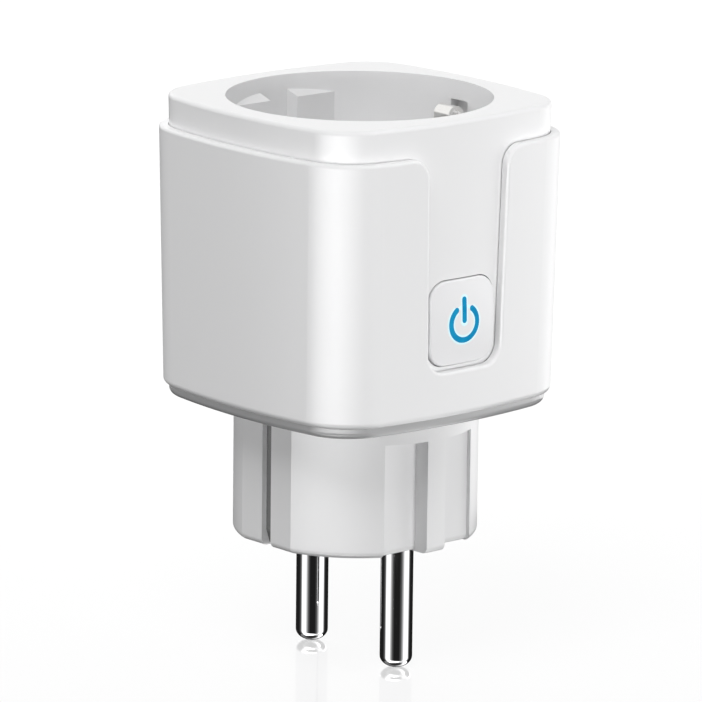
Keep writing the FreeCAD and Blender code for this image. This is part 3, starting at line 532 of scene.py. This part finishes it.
@dataclass(frozen=True)
class CircuitBoard(Finish):
    """Solder mask over copper tracks: paler lines on a grid, with tinned pads at some crossings."""

    track: Colour = (0.03, 0.30, 0.12)
    pad: Colour = (0.70, 0.68, 0.62)
    pitch: float = 0.00254
    track_half: float = 0.00028
    track_patch: float = 3.1
    pad_radius: float = 0.0006
    pad_patch: float = 2.3
    pad_from: float = 0.52
    copper_rise: float = 0.000035

    def grid(self, graph: Graph) -> Tuple[Term, Term]:
        """Distances from the nearest grid line of each direction."""
        x, y, _ = graph.split(graph.place())
        return x.repeat(self.pitch), y.repeat(self.pitch)

    def pads(self, graph: Graph) -> Term:
        """Where the round pads are, which only some grid crossings carry.

        Args:
            graph: The tree to add to.

        Returns:
            1 on a pad, else 0.
        """
        across, along = self.grid(graph)
        chosen = graph.noise(self.pitch * self.pad_patch, 0.0) > self.pad_from
        return ((across * across + along * along).root() < self.pad_radius) * chosen

    def tracks(self, graph: Graph) -> Term:
        """Where the tracks are, which run one way in some regions and the other way elsewhere.

        Args:
            graph: The tree to add to.

        Returns:
            1 on a track, else 0.
        """
        across, along = self.grid(graph)
        turned = graph.noise(self.pitch * self.track_patch, 0.0) > NOISE_MIDDLE
        one, other = across < self.track_half, along < self.track_half
        return one * turned + other * (1.0 - turned)

    def base_colour(self, graph: Graph) -> Any:
        """Mask, tracks and pads."""
        covered = graph.blend(self.tracks(graph), self.colour, self.track)
        return graph.blend(self.pads(graph), covered, self.pad)

    def relief(self, graph: Graph) -> Term:
        """Tracks and pads stand a little proud."""
        return graph.bump(self.tracks(graph).most(self.pads(graph)), self.copper_rise)

    def extras(self, graph: Graph) -> Inputs:
        """Pads are metal."""
        return {"Metallic": self.pads(graph)}


@dataclass(frozen=True)
class BandedFinish(Finish):
    """A surface built in even bands along one direction, such as wound wire or lapped tape."""

    # second: darker colour in the valleys, painted shade where the turns or laps meet.
    second: Colour = (0.3, 0.12, 0.05)
    pitch: float = 0.00022
    along: Axis = Axis.Z
    band_depth: float = 0.00004
    valley: float = 0.6

    def bands(self, graph: Graph) -> Term:
        """0 in the valley between two bands, 1 on their crests."""
        return graph.split(graph.place())[self.along.value].repeat(self.pitch) / (self.pitch / 2)

    def base_colour(self, graph: Graph) -> Any:
        """Painted shade: the darker second colour in the valleys between the bands."""
        crests = self.bands(graph).soft_step(0.0, self.valley)
        return graph.blend(crests, self.second, super().base_colour(graph))

    def relief(self, graph: Graph) -> Term:
        """Round crests."""
        crest = 1.0 - (1.0 - self.bands(graph)) ** 2.0
        return graph.bump(crest, self.band_depth)


@dataclass(frozen=True)
class SpeckledFinish(Finish):
    """Sintered or cast surface with small light grains."""

    grains: Colour = (0.3, 0.3, 0.31)
    speck_cell: float = 0.0003
    speck_core: float = 0.12
    speck_edge: float = 0.3

    def base_colour(self, graph: Graph) -> Any:
        """Light grains on the dark ground.

        Args:
            graph: The tree to add to.

        Returns:
            The colour over the surface.
        """
        inputs = {"Vector": graph.place(), "Scale": 1.0 / self.speck_cell}
        from_grain = graph.node("ShaderNodeTexVoronoi", None, inputs)
        ground = from_grain.soft_step(self.speck_core, self.speck_edge)
        return graph.blend(ground, self.grains, super().base_colour(graph))


@dataclass(frozen=True)
class RingedFinish(Finish):
    """Lacquered barrel with painted rings at set places along it."""

    rings: Tuple[Tuple[float, Colour], ...] = ()
    along: Axis = Axis.Y
    ring_half: float = 0.0003

    def base_colour(self, graph: Graph) -> Any:
        """The lacquer with each ring laid over it.

        Args:
            graph: The tree to add to.

        Returns:
            The colour over the surface.
        """
        result = super().base_colour(graph)
        run = graph.split(graph.place())[self.along.value]
        for place, colour in self.rings:
            result = graph.blend(abs(run - place) < self.ring_half, result, colour)
        return result


PLAIN_COAT: Constants = (("Coat Weight", 0.3), ("Coat Roughness", 0.2))
WHITE: Colour = (0.86, 0.86, 0.865)


class Surface(Enum):
    """The finish of each material slot of the record."""

    body_white = MouldedPlastic(WHITE)
    trim_grey = TrimmedPlastic((0.80, 0.80, 0.805))
    button_white = HaloPlastic((0.85, 0.85, 0.86), roughness=0.34)
    icon_blue = LitGuide((0.003, 0.08, 0.16), roughness=0.3, constants=(("IOR", 1.1),))
    pin_nickel = PlatedMetal((0.86, 0.86, 0.87), roughness=0.03, line_gloss=0.05)
    earth_metal = PlatedMetal((0.88, 0.87, 0.85), roughness=0.1)
    # The earth strip is bright nickel; its dark grey here is painted shade for the strip lying
    # recessed in its slot.
    strip_metal = PlatedMetal((0.22, 0.22, 0.22), roughness=0.4)
    contact_brass = PlatedMetal((0.82, 0.63, 0.30), roughness=0.22)
    shutter_white = MouldedPlastic((0.72, 0.72, 0.71), roughness=0.5, constants=PLAIN_COAT)
    screw_steel = PlatedMetal((0.60, 0.61, 0.63), roughness=0.28, line_width=0.00015)
    spring_steel = PlatedMetal((0.62, 0.62, 0.64), roughness=0.2)
    board_green = CircuitBoard((0.012, 0.16, 0.06), roughness=0.35)
    relay_black = MouldedPlastic((0.03, 0.03, 0.033), roughness=0.42, mottle=0.1)
    relay_blue = MouldedPlastic((0.03, 0.12, 0.45), roughness=0.32, mottle=0.04)
    bobbin_white = MouldedPlastic((0.70, 0.69, 0.64), roughness=0.5, constants=PLAIN_COAT)
    # The second colours of copper_wire and tape_yellow are painted shade in the valleys between turns
    # and laps.
    copper_wire = BandedFinish((0.78, 0.34, 0.16), metallic=1.0, roughness=0.25,
                               second=(0.18, 0.06, 0.03))
    soft_iron = PlatedMetal((0.52, 0.52, 0.53), roughness=0.33, line_width=0.0002)
    silver_contact = PlatedMetal((0.84, 0.83, 0.81), roughness=0.24)
    switch_black = MouldedPlastic((0.035, 0.035, 0.037), roughness=0.5, mottle=0.1,
                                  constants=PLAIN_COAT)
    lamp_body = MouldedPlastic((0.80, 0.80, 0.66), roughness=0.18)
    shield_tin = PlatedMetal((0.68, 0.69, 0.70), roughness=0.25, along=Axis.X)
    capacitor_sleeve = MouldedPlastic((0.05, 0.07, 0.13), roughness=0.3, mottle=0.08)
    film_yellow = MouldedPlastic((0.72, 0.58, 0.08), roughness=0.4, mottle=0.05)
    ferrite_grey = SpeckledFinish((0.075, 0.075, 0.08), roughness=0.6)
    tape_yellow = BandedFinish((0.83, 0.66, 0.12), roughness=0.3, second=(0.6, 0.44, 0.05),
                               pitch=0.003, band_depth=0.00005)
    chip_black = Finish((0.022, 0.022, 0.023), roughness=0.55, mottle=0.2, grain_cell=0.00015,
                        grain_depth=0.00001)
    shunt_alloy = PlatedMetal((0.62, 0.52, 0.38), roughness=0.3, along=Axis.X)
    resistor_blue = RingedFinish((0.16, 0.36, 0.55), roughness=0.3, rings=(
        (0.0090, (0.35, 0.12, 0.02)), (0.0102, (0.02, 0.02, 0.02)), (0.0114, (0.55, 0.40, 0.08))))
    varistor_blue = Finish((0.03, 0.13, 0.42), roughness=0.3, mottle=0.06, grain_cell=0.0012,
                           grain_depth=0.00002, constants=PLAIN_COAT)


class FinishShop:
    """Makes each material once and puts it on parts and new pieces."""

    def __init__(self) -> None:
        """Starts with nothing made."""
        self.made: Dict[str, bpy.types.Material] = {}

    def get(self, surface: Surface) -> bpy.types.Material:
        """The material of a surface, made on first use.

        Args:
            surface: Which finish.

        Returns:
            Its material.
        """
        if surface.name not in self.made:
            self.made[surface.name] = surface.value.material("finish_" + surface.name)
        return self.made[surface.name]

    def dress_frame(self) -> None:
        """Gives every part of the frame the finish that its record slot names."""
        for row in frame["record"]["subparts"]:
            part = frame["nodes"][row["node"]]
            finish = self.get(Surface[row["material_slot"]])
            for slot in part.material_slots:
                slot.material = finish
            LOG.info("dressed %s in %s", row["node"], row["material_slot"])


# ---------------------------------------------------------------- new pieces


def put_in_scene(name: str, mesh: bmesh.types.BMesh,
                 material: bpy.types.Material) -> bpy.types.Object:
    """Turns a finished mesh into an object of the scene.

    Args:
        name: The object's name.
        mesh: The mesh, which is used up.
        material: What it is covered in.

    Returns:
        The new object.
    """
    data = bpy.data.meshes.new(name)
    mesh.to_mesh(data)
    mesh.free()
    data.materials.append(material)
    made = bpy.data.objects.new(name, data)
    bpy.context.scene.collection.objects.link(made)
    return made


class Workpiece:
    """A mesh on the bench, shaped by operators until it becomes a named piece."""

    def __init__(self, name: str) -> None:
        """Starts an empty mesh."""
        self.name = name
        self.mesh = bmesh.new()

    def turn(self, profile: Sequence[Tuple[float, float]], foot: Vector, axis: Axis = Axis.Z,
             steps: int = 64) -> None:
        """Turns a profile round an axis, as on a lathe.

        Args:
            profile: Radius and height of each point, in metres. The ends lie on the axis.
            foot: Where radius 0, height 0 lies.
            axis: The turning axis.
            steps: How many segments the turn has.
        """
        up = axis.vector()
        out = Vector((up.z, up.x, up.y))
        points = [self.mesh.verts.new(foot + out * r + up * h) for r, h in profile]
        edges = [self.mesh.edges.new(pair) for pair in zip(points, points[1:])]
        bmesh.ops.spin(self.mesh, geom=points + edges, cent=foot, axis=up, dvec=(0, 0, 0),
                       angle=2 * math.pi, steps=steps, use_merge=True, use_duplicate=False)

    def block(self, low: Vector, high: Vector, edge: float = 0.0) -> None:
        """Adds a block with softened edges.

        Args:
            low: Its lowest corner.
            high: Its highest corner.
            edge: Radius of its edges.
        """
        made = bmesh.ops.create_cube(self.mesh, size=1.0)["verts"]
        bmesh.ops.scale(self.mesh, vec=high - low, verts=made)
        bmesh.ops.translate(self.mesh, vec=(low + high) / 2, verts=made)
        if edge:
            edges = list({e for v in made for e in v.link_edges})
            bmesh.ops.bevel(self.mesh, geom=edges, offset=edge, offset_type="OFFSET",
                            affect="EDGES", segments=BEVEL_STEPS, profile=0.5, material=-1)

    def finish(self, body: Body, surface: Surface, shop: FinishShop,
               sharp: float = 40.0) -> bpy.types.Object:
        """Closes the mesh and makes it a piece of the object.

        Args:
            body: The moving group it rides on.
            surface: Its finish and record slot.
            shop: Where finishes come from.
            sharp: The angle in degrees past which an edge stays crisp.

        Returns:
            The new object.
        """
        bmesh.ops.remove_doubles(self.mesh, verts=self.mesh.verts, dist=MERGE_WITHIN)
        bmesh.ops.recalc_face_normals(self.mesh, faces=self.mesh.faces)
        for face in self.mesh.faces:
            face.smooth = True
        for edge in self.mesh.edges:
            edge.smooth = not edge.is_manifold or edge.calc_face_angle(0.0) < math.radians(sharp)
        piece = put_in_scene(self.name, self.mesh, shop.get(surface))
        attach(piece, body.value)
        LOG.info("made %s: %d faces on %s", self.name, len(piece.data.polygons), body.value)
        return piece


@dataclass
class PlugPins:
    """The two turned pins, with a softly domed tip and the collar that seats them in the neck."""

    shop: FinishShop
    dome: float = 1.7 * MM
    dome_points: int = 12
    shank: float = 2.4 * MM
    seat: float = 2.1 * MM
    collar: float = 3.4 * MM
    tail: float = 1.5 * MM
    seat_top: float = 2.5 * MM
    collar_top: float = 4.6 * MM
    steps: int = 96

    def build(self) -> None:
        """Turns both pins in place of the frame's."""
        for node in ("front_pin", "back_pin"):
            low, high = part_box(node)
            foot = Vector(((low.x + high.x) / 2, (low.y + high.y) / 2, low.z))
            piece = Workpiece(node + "_turned")
            piece.turn(self.profile(high.z - low.z, -low.z), foot, Axis.Z, self.steps)
            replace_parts(piece.finish(Body.HOUSING, Surface.pin_nickel, self.shop), node)

    def profile(self, length: float, face: float) -> List[Tuple[float, float]]:
        """Outline from the tip up to the tail.

        Args:
            length: Whole length of the pin.
            face: Height of the neck's face above the tip.

        Returns:
            Radius and height of each point.
        """
        points = []
        for step in range(self.dome_points + 1):
            turn = step / self.dome_points * math.pi / 2
            points.append((self.shank * math.sin(turn), self.dome * (1 - math.cos(turn))))
        points += [(self.shank, face), (self.seat, face), (self.seat, face + self.seat_top)]
        points += [(self.collar, face + self.seat_top), (self.collar, face + self.collar_top)]
        return points + [(self.tail, face + self.collar_top), (self.tail, length), (0.0, length)]


@dataclass
class SnapDome:
    """The push switch's thin metal dome, which flattens as the plunger presses it."""

    shop: FinishShop
    thickness: float = 0.12 * MM
    rings: int = 10
    pressed_share: float = 0.47

    def build(self) -> None:
        """Turns the dome in place of the frame's and gives it a mesh of its own."""
        low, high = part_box("switch_dome")
        rim, rise = (high.x - low.x) / 2, high.y - low.y
        foot = Vector(((low.x + high.x) / 2, high.y, (low.z + high.z) / 2))
        outer = self.arc(rim, rise)
        inner = self.arc(rim - self.thickness, rise - self.thickness)
        piece = Workpiece("switch_dome_pressed")
        piece.turn(outer + inner[::-1], foot, Axis.Y)
        made = piece.finish(Body.HOUSING, Surface.spring_steel, self.shop)
        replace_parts(made, "switch_dome")
        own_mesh(made)

    def arc(self, rim: float, rise: float) -> List[Tuple[float, float]]:
        """Radius and height of points on one face, from its crown out to its rim."""
        shares = [step / self.rings for step in range(self.rings + 1)]
        return [(rim * share, rise * (share ** 2 - 1)) for share in shares]


@dataclass
class ReturnSpring:
    """The shutter's return spring: round wire bent to an arc, carried round by the shutter."""

    shop: FinishShop
    sides: int = 16
    steps: int = 40

    def build(self) -> None:
        """Bends the wire in place of the frame's spring."""
        low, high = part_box("shutter_spring")
        wire = (high.z - low.z) / 2
        half_turn = math.asin(high.y / -low.x)
        piece = Workpiece("shutter_spring_wire")
        mesh = piece.mesh
        ring = bmesh.ops.create_circle(mesh, segments=self.sides, radius=wire)["verts"]
        upright, back = Matrix.Rotation(math.pi / 2, 3, "X"), Matrix.Rotation(-half_turn, 3, "Z")
        bmesh.ops.rotate(mesh, verts=ring, cent=(0, 0, 0), matrix=upright)
        bmesh.ops.translate(mesh, verts=ring, vec=(low.x + wire, 0, (low.z + high.z) / 2))
        bmesh.ops.rotate(mesh, verts=ring, cent=(0, 0, 0), matrix=back)
        bmesh.ops.spin(mesh, geom=ring + list(mesh.edges), cent=(0, 0, 0), axis=(0, 0, 1),
                       dvec=(0, 0, 0), angle=2 * half_turn, steps=self.steps, use_duplicate=False)
        ends = [edge for edge in mesh.edges if edge.is_boundary]
        bmesh.ops.holes_fill(mesh, edges=ends, sides=self.sides)
        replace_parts(piece.finish(Body.SHUTTER, Surface.spring_steel, self.shop), "shutter_spring")


@dataclass
class SolderWork:
    """Solder fillets around the legs under the main board, at places in millimetres."""

    shop: FinishShop
    radius: float = 1.15 * MM
    height: float = 0.7 * MM
    leg: float = 0.35 * MM
    rim: int = 6
    steps: int = 20
    places: Tuple[Tuple[float, float], ...] = (
        (9.3, -8.0), (15.7, -8.0), (12.5, 4.6), (7.1, 11.6), (12.1, 11.6), (-4.3, 3.6),
        (-4.3, -3.6), (1.5, 3.6), (1.5, -3.6), (-15.3, 5.0), (-15.3, -5.0))

    def build(self) -> None:
        """Turns one concave cone for each leg."""
        board_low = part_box("main_board")[0].z
        piece = Workpiece("solder_fillets")
        for x, y in self.places:
            profile = [(0.0, -self.height)]
            for step in range(self.rim + 1):
                share = step / self.rim
                radius = self.leg + (self.radius - self.leg) * share ** 2
                profile.append((radius, -self.height * (1 - share)))
            profile.append((0.0, 0.0))
            piece.turn(profile, Vector((x * MM, y * MM, board_low)), Axis.Z, self.steps)
        piece.finish(Body.HOUSING, Surface.silver_contact, self.shop)


@dataclass
class CoilWinding:
    """The relay coil's wire pack with its turns standing as ribs."""

    shop: FinishShop
    wire: float = 0.22 * MM
    bulge: float = 0.1 * MM
    bore: float = 2.3 * MM
    steps: int = 48
    sharp: float = 120.0

    def build(self) -> None:
        """Turns the ribbed pack in place of the frame's smooth one."""
        low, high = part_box("relay_winding")
        outer = (high.x - low.x) / 2
        foot = Vector(((low.x + high.x) / 2, (low.y + high.y) / 2, low.z))
        height = high.z - low.z
        turns = int(height / self.wire)
        profile = [(self.bore, 0.0)]
        for turn in range(turns):
            start = turn * height / turns
            profile.append((outer - self.bulge, start))
            profile.append((outer, start + height / turns / 2))
        profile += [(outer - self.bulge, height), (self.bore, height), (self.bore, 0.0)]
        piece = Workpiece("relay_wire_turns")
        piece.turn(profile, foot, Axis.Z, self.steps)
        made = piece.finish(Body.HOUSING, Surface.copper_wire, self.shop, self.sharp)
        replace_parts(made, "relay_winding")


@dataclass
class ChipParts:
    """Small surface-mounted parts on the main board, at places in millimetres."""

    shop: FinishShop
    length: float = 2.0 * MM
    width: float = 1.25 * MM
    height: float = 0.6 * MM
    cap: float = 0.4 * MM
    edge: float = 0.08 * MM
    inset: float = 0.02 * MM
    drop: float = 0.03 * MM
    places: Tuple[Tuple[float, float], ...] = (
        (-7.6, 9.0), (-7.6, 11.0), (-4.6, 12.0), (-1.6, 12.0), (1.4, 12.0), (-7.4, -14.8),
        (-4.6, -7.6), (-1.8, -7.6), (1.0, -7.6))

    def build(self) -> None:
        """Places the dark bodies, and their tinned ends as a second piece."""
        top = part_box("main_board")[1].z
        bodies = Workpiece("chip_part_bodies")
        ends = Workpiece("chip_part_ends")
        for x, y in self.places:
            low = Vector((x * MM - self.length / 2, y * MM - self.width / 2, top))
            high = low + Vector((self.length, self.width, self.height))
            inner = Vector((self.cap, self.inset, 0.0))
            bodies.block(low + inner, high - inner - Vector((0, 0, self.drop)), self.edge)
            for start in (low, Vector((high.x - self.cap, low.y, low.z))):
                ends.block(start, start + Vector((self.cap, self.width, self.height)), self.edge)
        bodies.finish(Body.HOUSING, Surface.chip_black, self.shop)
        ends.finish(Body.HOUSING, Surface.silver_contact, self.shop)


# ---------------------------------------------------------------- studio


@dataclass(frozen=True)
class Softbox:
    """One square studio light aimed at the object, left out of its reflections."""

    name: str
    azimuth: float
    elevation: float
    distance: float
    side: float
    power: float

    def place(self, target: Vector) -> None:
        """Hangs the light and turns it to the target.

        Args:
            target: The point it shines at.
        """
        light = bpy.data.lights.new(self.name, "AREA")
        light.size = self.side
        light.energy = self.power
        made = bpy.data.objects.new(self.name, light)
        back = away(self.azimuth, self.elevation)
        made.location = target + back * self.distance
        made.rotation_mode = "QUATERNION"
        made.rotation_quaternion = (-back).to_track_quat("-Z", "Y")
        made.visible_glossy = False
        bpy.context.scene.collection.objects.link(made)


def away(azimuth: float, elevation: float) -> Vector:
    """Unit vector from the object towards an azimuth and elevation, given in degrees."""
    a, e = math.radians(azimuth), math.radians(elevation)
    return Vector((math.sin(a) * math.cos(e), -math.cos(a) * math.cos(e), math.sin(e)))


@dataclass
class Studio:
    """Pale floor, soft light and the camera.

    A Levels field pairs angles round the object from the view, in degrees, with the brightness there.
    """

    camera_at: Tuple[float, float, float] = (-0.59955302794, -0.68636940509, 0.23825536004)
    azimuth: float = -41.084
    elevation: float = 13.06
    roll: float = 0.644
    lens: float = 327.2919
    sensor: float = 36.0
    nearest: float = 0.05
    farthest: float = 20.0
    floor_side: float = 8.0
    floor_colour: Colour = (0.12, 0.12, 0.12)
    floor_roughness: float = 0.05
    floor_ior: float = 2.3
    floor_light: float = 0.6
    sky: float = 0.3
    ground: float = 0.15
    boxes: Tuple[Softbox, ...] = (
        Softbox("key_box", 5.0, -4.0, 1.3, 0.4, 7.9),
        Softbox("right_box", 60.0, 5.0, 1.3, 0.6, 2.8),
        Softbox("left_box", -122.0, 0.0, 1.3, 0.5, 4.7),
        Softbox("top_box", -62.0, 58.0, 1.3, 0.7, 9.0),
        Softbox("rear_box", 150.0, 30.0, 1.4, 0.9, 8.5),
    )
    sky_fade: Tuple[float, float] = (-0.4, 0.4)
    front_glow: Levels = (
        (-180, 0.03), (-95, 0.03), (-80, 0.1), (-60, 0.6), (-38, 0.9), (-22, 1.0),
        (0, 0.75), (35, 0.16), (72, 0.1), (108, 0.34), (135, 0.3), (180, 0.05))
    front_light: float = 7.5
    front_top: Tuple[float, float] = (-0.03, 0.1)
    nadir: Colour = (0.03, 0.03, 0.03)
    nadir_fade: Tuple[float, float] = (-0.96, -0.8)
    bands: Levels = (
        (-180, 0.01), (-104, 0.01), (-86, 0.08), (-74, 1.0), (-48, 1.0), (-38, 0.4), (-27, 0.08),
        (-14, 0.01), (22, 0.01), (36, 0.08), (48, 0.4), (58, 1.0), (88, 1.0), (98, 0.12),
        (108, 0.01), (180, 0.01))
    band_light: float = 1.4
    ring_steps: int = 96
    ring_radius: float = 0.4
    ring_top: float = -0.1
    ring_height: float = 0.3

    def build(self) -> None:
        """Sets up everything around the object."""
        bpy.context.scene.view_settings.view_transform = "Standard"
        self.camera()
        self.floor()
        self.mirror_ring()
        self.world()
        low, high = CAD_BOX
        for softbox in self.boxes:
            softbox.place((low + high) / 2)
        LOG.info("studio ready with %d softboxes", len(self.boxes))

    def camera(self) -> None:
        """Places the camera."""
        data = bpy.data.cameras.new("view")
        data.lens = self.lens
        data.sensor_width = self.sensor
        data.clip_start = self.nearest
        data.clip_end = self.farthest
        made = bpy.data.objects.new("view", data)
        made.location = self.camera_at
        aim = (-away(self.azimuth, self.elevation)).to_track_quat("-Z", "Y").to_matrix()
        made.rotation_euler = (aim @ Matrix.Rotation(math.radians(self.roll), 3, "Z")).to_euler()
        bpy.context.scene.collection.objects.link(made)
        bpy.context.scene.camera = made

    def floor(self) -> None:
        """Lays a large glossy pale floor under the pins, clear when seen from below."""
        mesh = bmesh.new()
        bmesh.ops.create_grid(mesh, x_segments=1, y_segments=1, size=self.floor_side / 2)
        bmesh.ops.translate(mesh, vec=(0, 0, CAD_BOX[0].z), verts=mesh.verts)
        material, graph = blank_material("floor_pale")
        inputs = {"Base Color": rgba(self.floor_colour), "Roughness": self.floor_roughness,
                  "IOR": self.floor_ior, "Emission Color": rgba(PURE_WHITE),
                  "Emission Strength": self.floor_light}
        pale = graph.node("ShaderNodeBsdfPrincipled", None, inputs)
        clear = graph.node("ShaderNodeBsdfTransparent")
        from_below = graph.node("ShaderNodeNewGeometry", output="Backfacing")
        shader = graph.node("ShaderNodeMixShader", None, {0: from_below, 1: pale, 2: clear})
        graph.node("ShaderNodeOutputMaterial", None, {"Surface": shader})
        made = put_in_scene("floor", mesh, material)
        made.visible_diffuse = False
        made.visible_glossy = False
        made.visible_shadow = False

    def around(self, graph: Graph, x: Term, y: Term, levels: Levels) -> Term:
        """Grey level that depends on the direction round the object.

        Args:
            graph: The tree to add to.
            x: The direction's X.
            y: The direction's Y.
            levels: The levels round the object.

        Returns:
            The level as a colour.
        """
        turn = x.angle_from(0.0 - y) * (HALF_TURN / math.pi) - self.azimuth
        place = turn.wrapped(-HALF_TURN, HALF_TURN) / FULL_TURN + HALF_TURN / FULL_TURN
        stops = [((angle + HALF_TURN) / FULL_TURN, (level,) * 3) for angle, level in levels]
        return graph.node("ShaderNodeValToRGB", {"stops": stops}, {0: place})

    def mirror_ring(self) -> None:
        """Hangs a ring of dark and bright bands low down for the polished pins to mirror."""
        mesh = bmesh.new()
        bmesh.ops.create_circle(mesh, segments=self.ring_steps, radius=self.ring_radius)
        bmesh.ops.translate(mesh, vec=(0, 0, self.ring_top), verts=mesh.verts)
        hem = bmesh.ops.extrude_edge_only(mesh, edges=mesh.edges)["geom"]
        hem = [item for item in hem if isinstance(item, bmesh.types.BMVert)]
        bmesh.ops.translate(mesh, vec=(0, 0, -self.ring_height), verts=hem)
        material, graph = blank_material("mirror_bands")
        x, y, _ = graph.split(graph.place())
        inputs = {"Color": self.around(graph, x, y, self.bands), "Strength": self.band_light}
        shader = graph.node("ShaderNodeEmission", None, inputs)
        graph.node("ShaderNodeOutputMaterial", None, {"Surface": shader})
        made = put_in_scene("mirror_ring", mesh, material)
        made.visible_camera = False
        made.visible_diffuse = False
        made.visible_shadow = False

    def world(self) -> None:
        """Soft light all round, with a broad bright front low down for the plastic to mirror."""
        world = bpy.data.worlds.new("studio")
        bpy.context.scene.world = world
        world.use_nodes = True
        graph = Graph(world.node_tree)
        x, y, z = graph.split(graph.node("ShaderNodeTexCoord", output="Generated"))
        front = graph.node("ShaderNodeVectorMath", {"operation": "SCALE"},
                           {0: self.around(graph, x, y, self.front_glow), 3: self.front_light})
        front = graph.blend(z.soft_step(*self.nadir_fade), self.nadir, front)
        mirror = graph.blend(z.soft_step(*self.front_top), front, PURE_WHITE)
        soft = graph.blend(z.soft_step(*self.sky_fade), (self.ground,) * 3, (self.sky,) * 3)
        path = graph.node("ShaderNodeLightPath").socket.node.outputs
        colour = graph.blend(Term(graph, path["Is Glossy Ray"]), soft, mirror)
        colour = graph.blend(Term(graph, path["Is Camera Ray"]), colour, PURE_WHITE)
        background = graph.node("ShaderNodeBackground", None, {"Color": colour})
        graph.node("ShaderNodeOutputWorld", None, {"Surface": background})


def main() -> None:
    """Builds the studio, dresses the frame and adds the new pieces."""
    logging.basicConfig(level=logging.INFO, format="%(name)s: %(message)s")
    Studio().build()
    shop = FinishShop()
    shop.dress_frame()
    for maker in (PlugPins, SnapDome, ReturnSpring, SolderWork, CoilWinding, ChipParts):
        maker(shop).build()


if __name__ == "__main__":
    main()
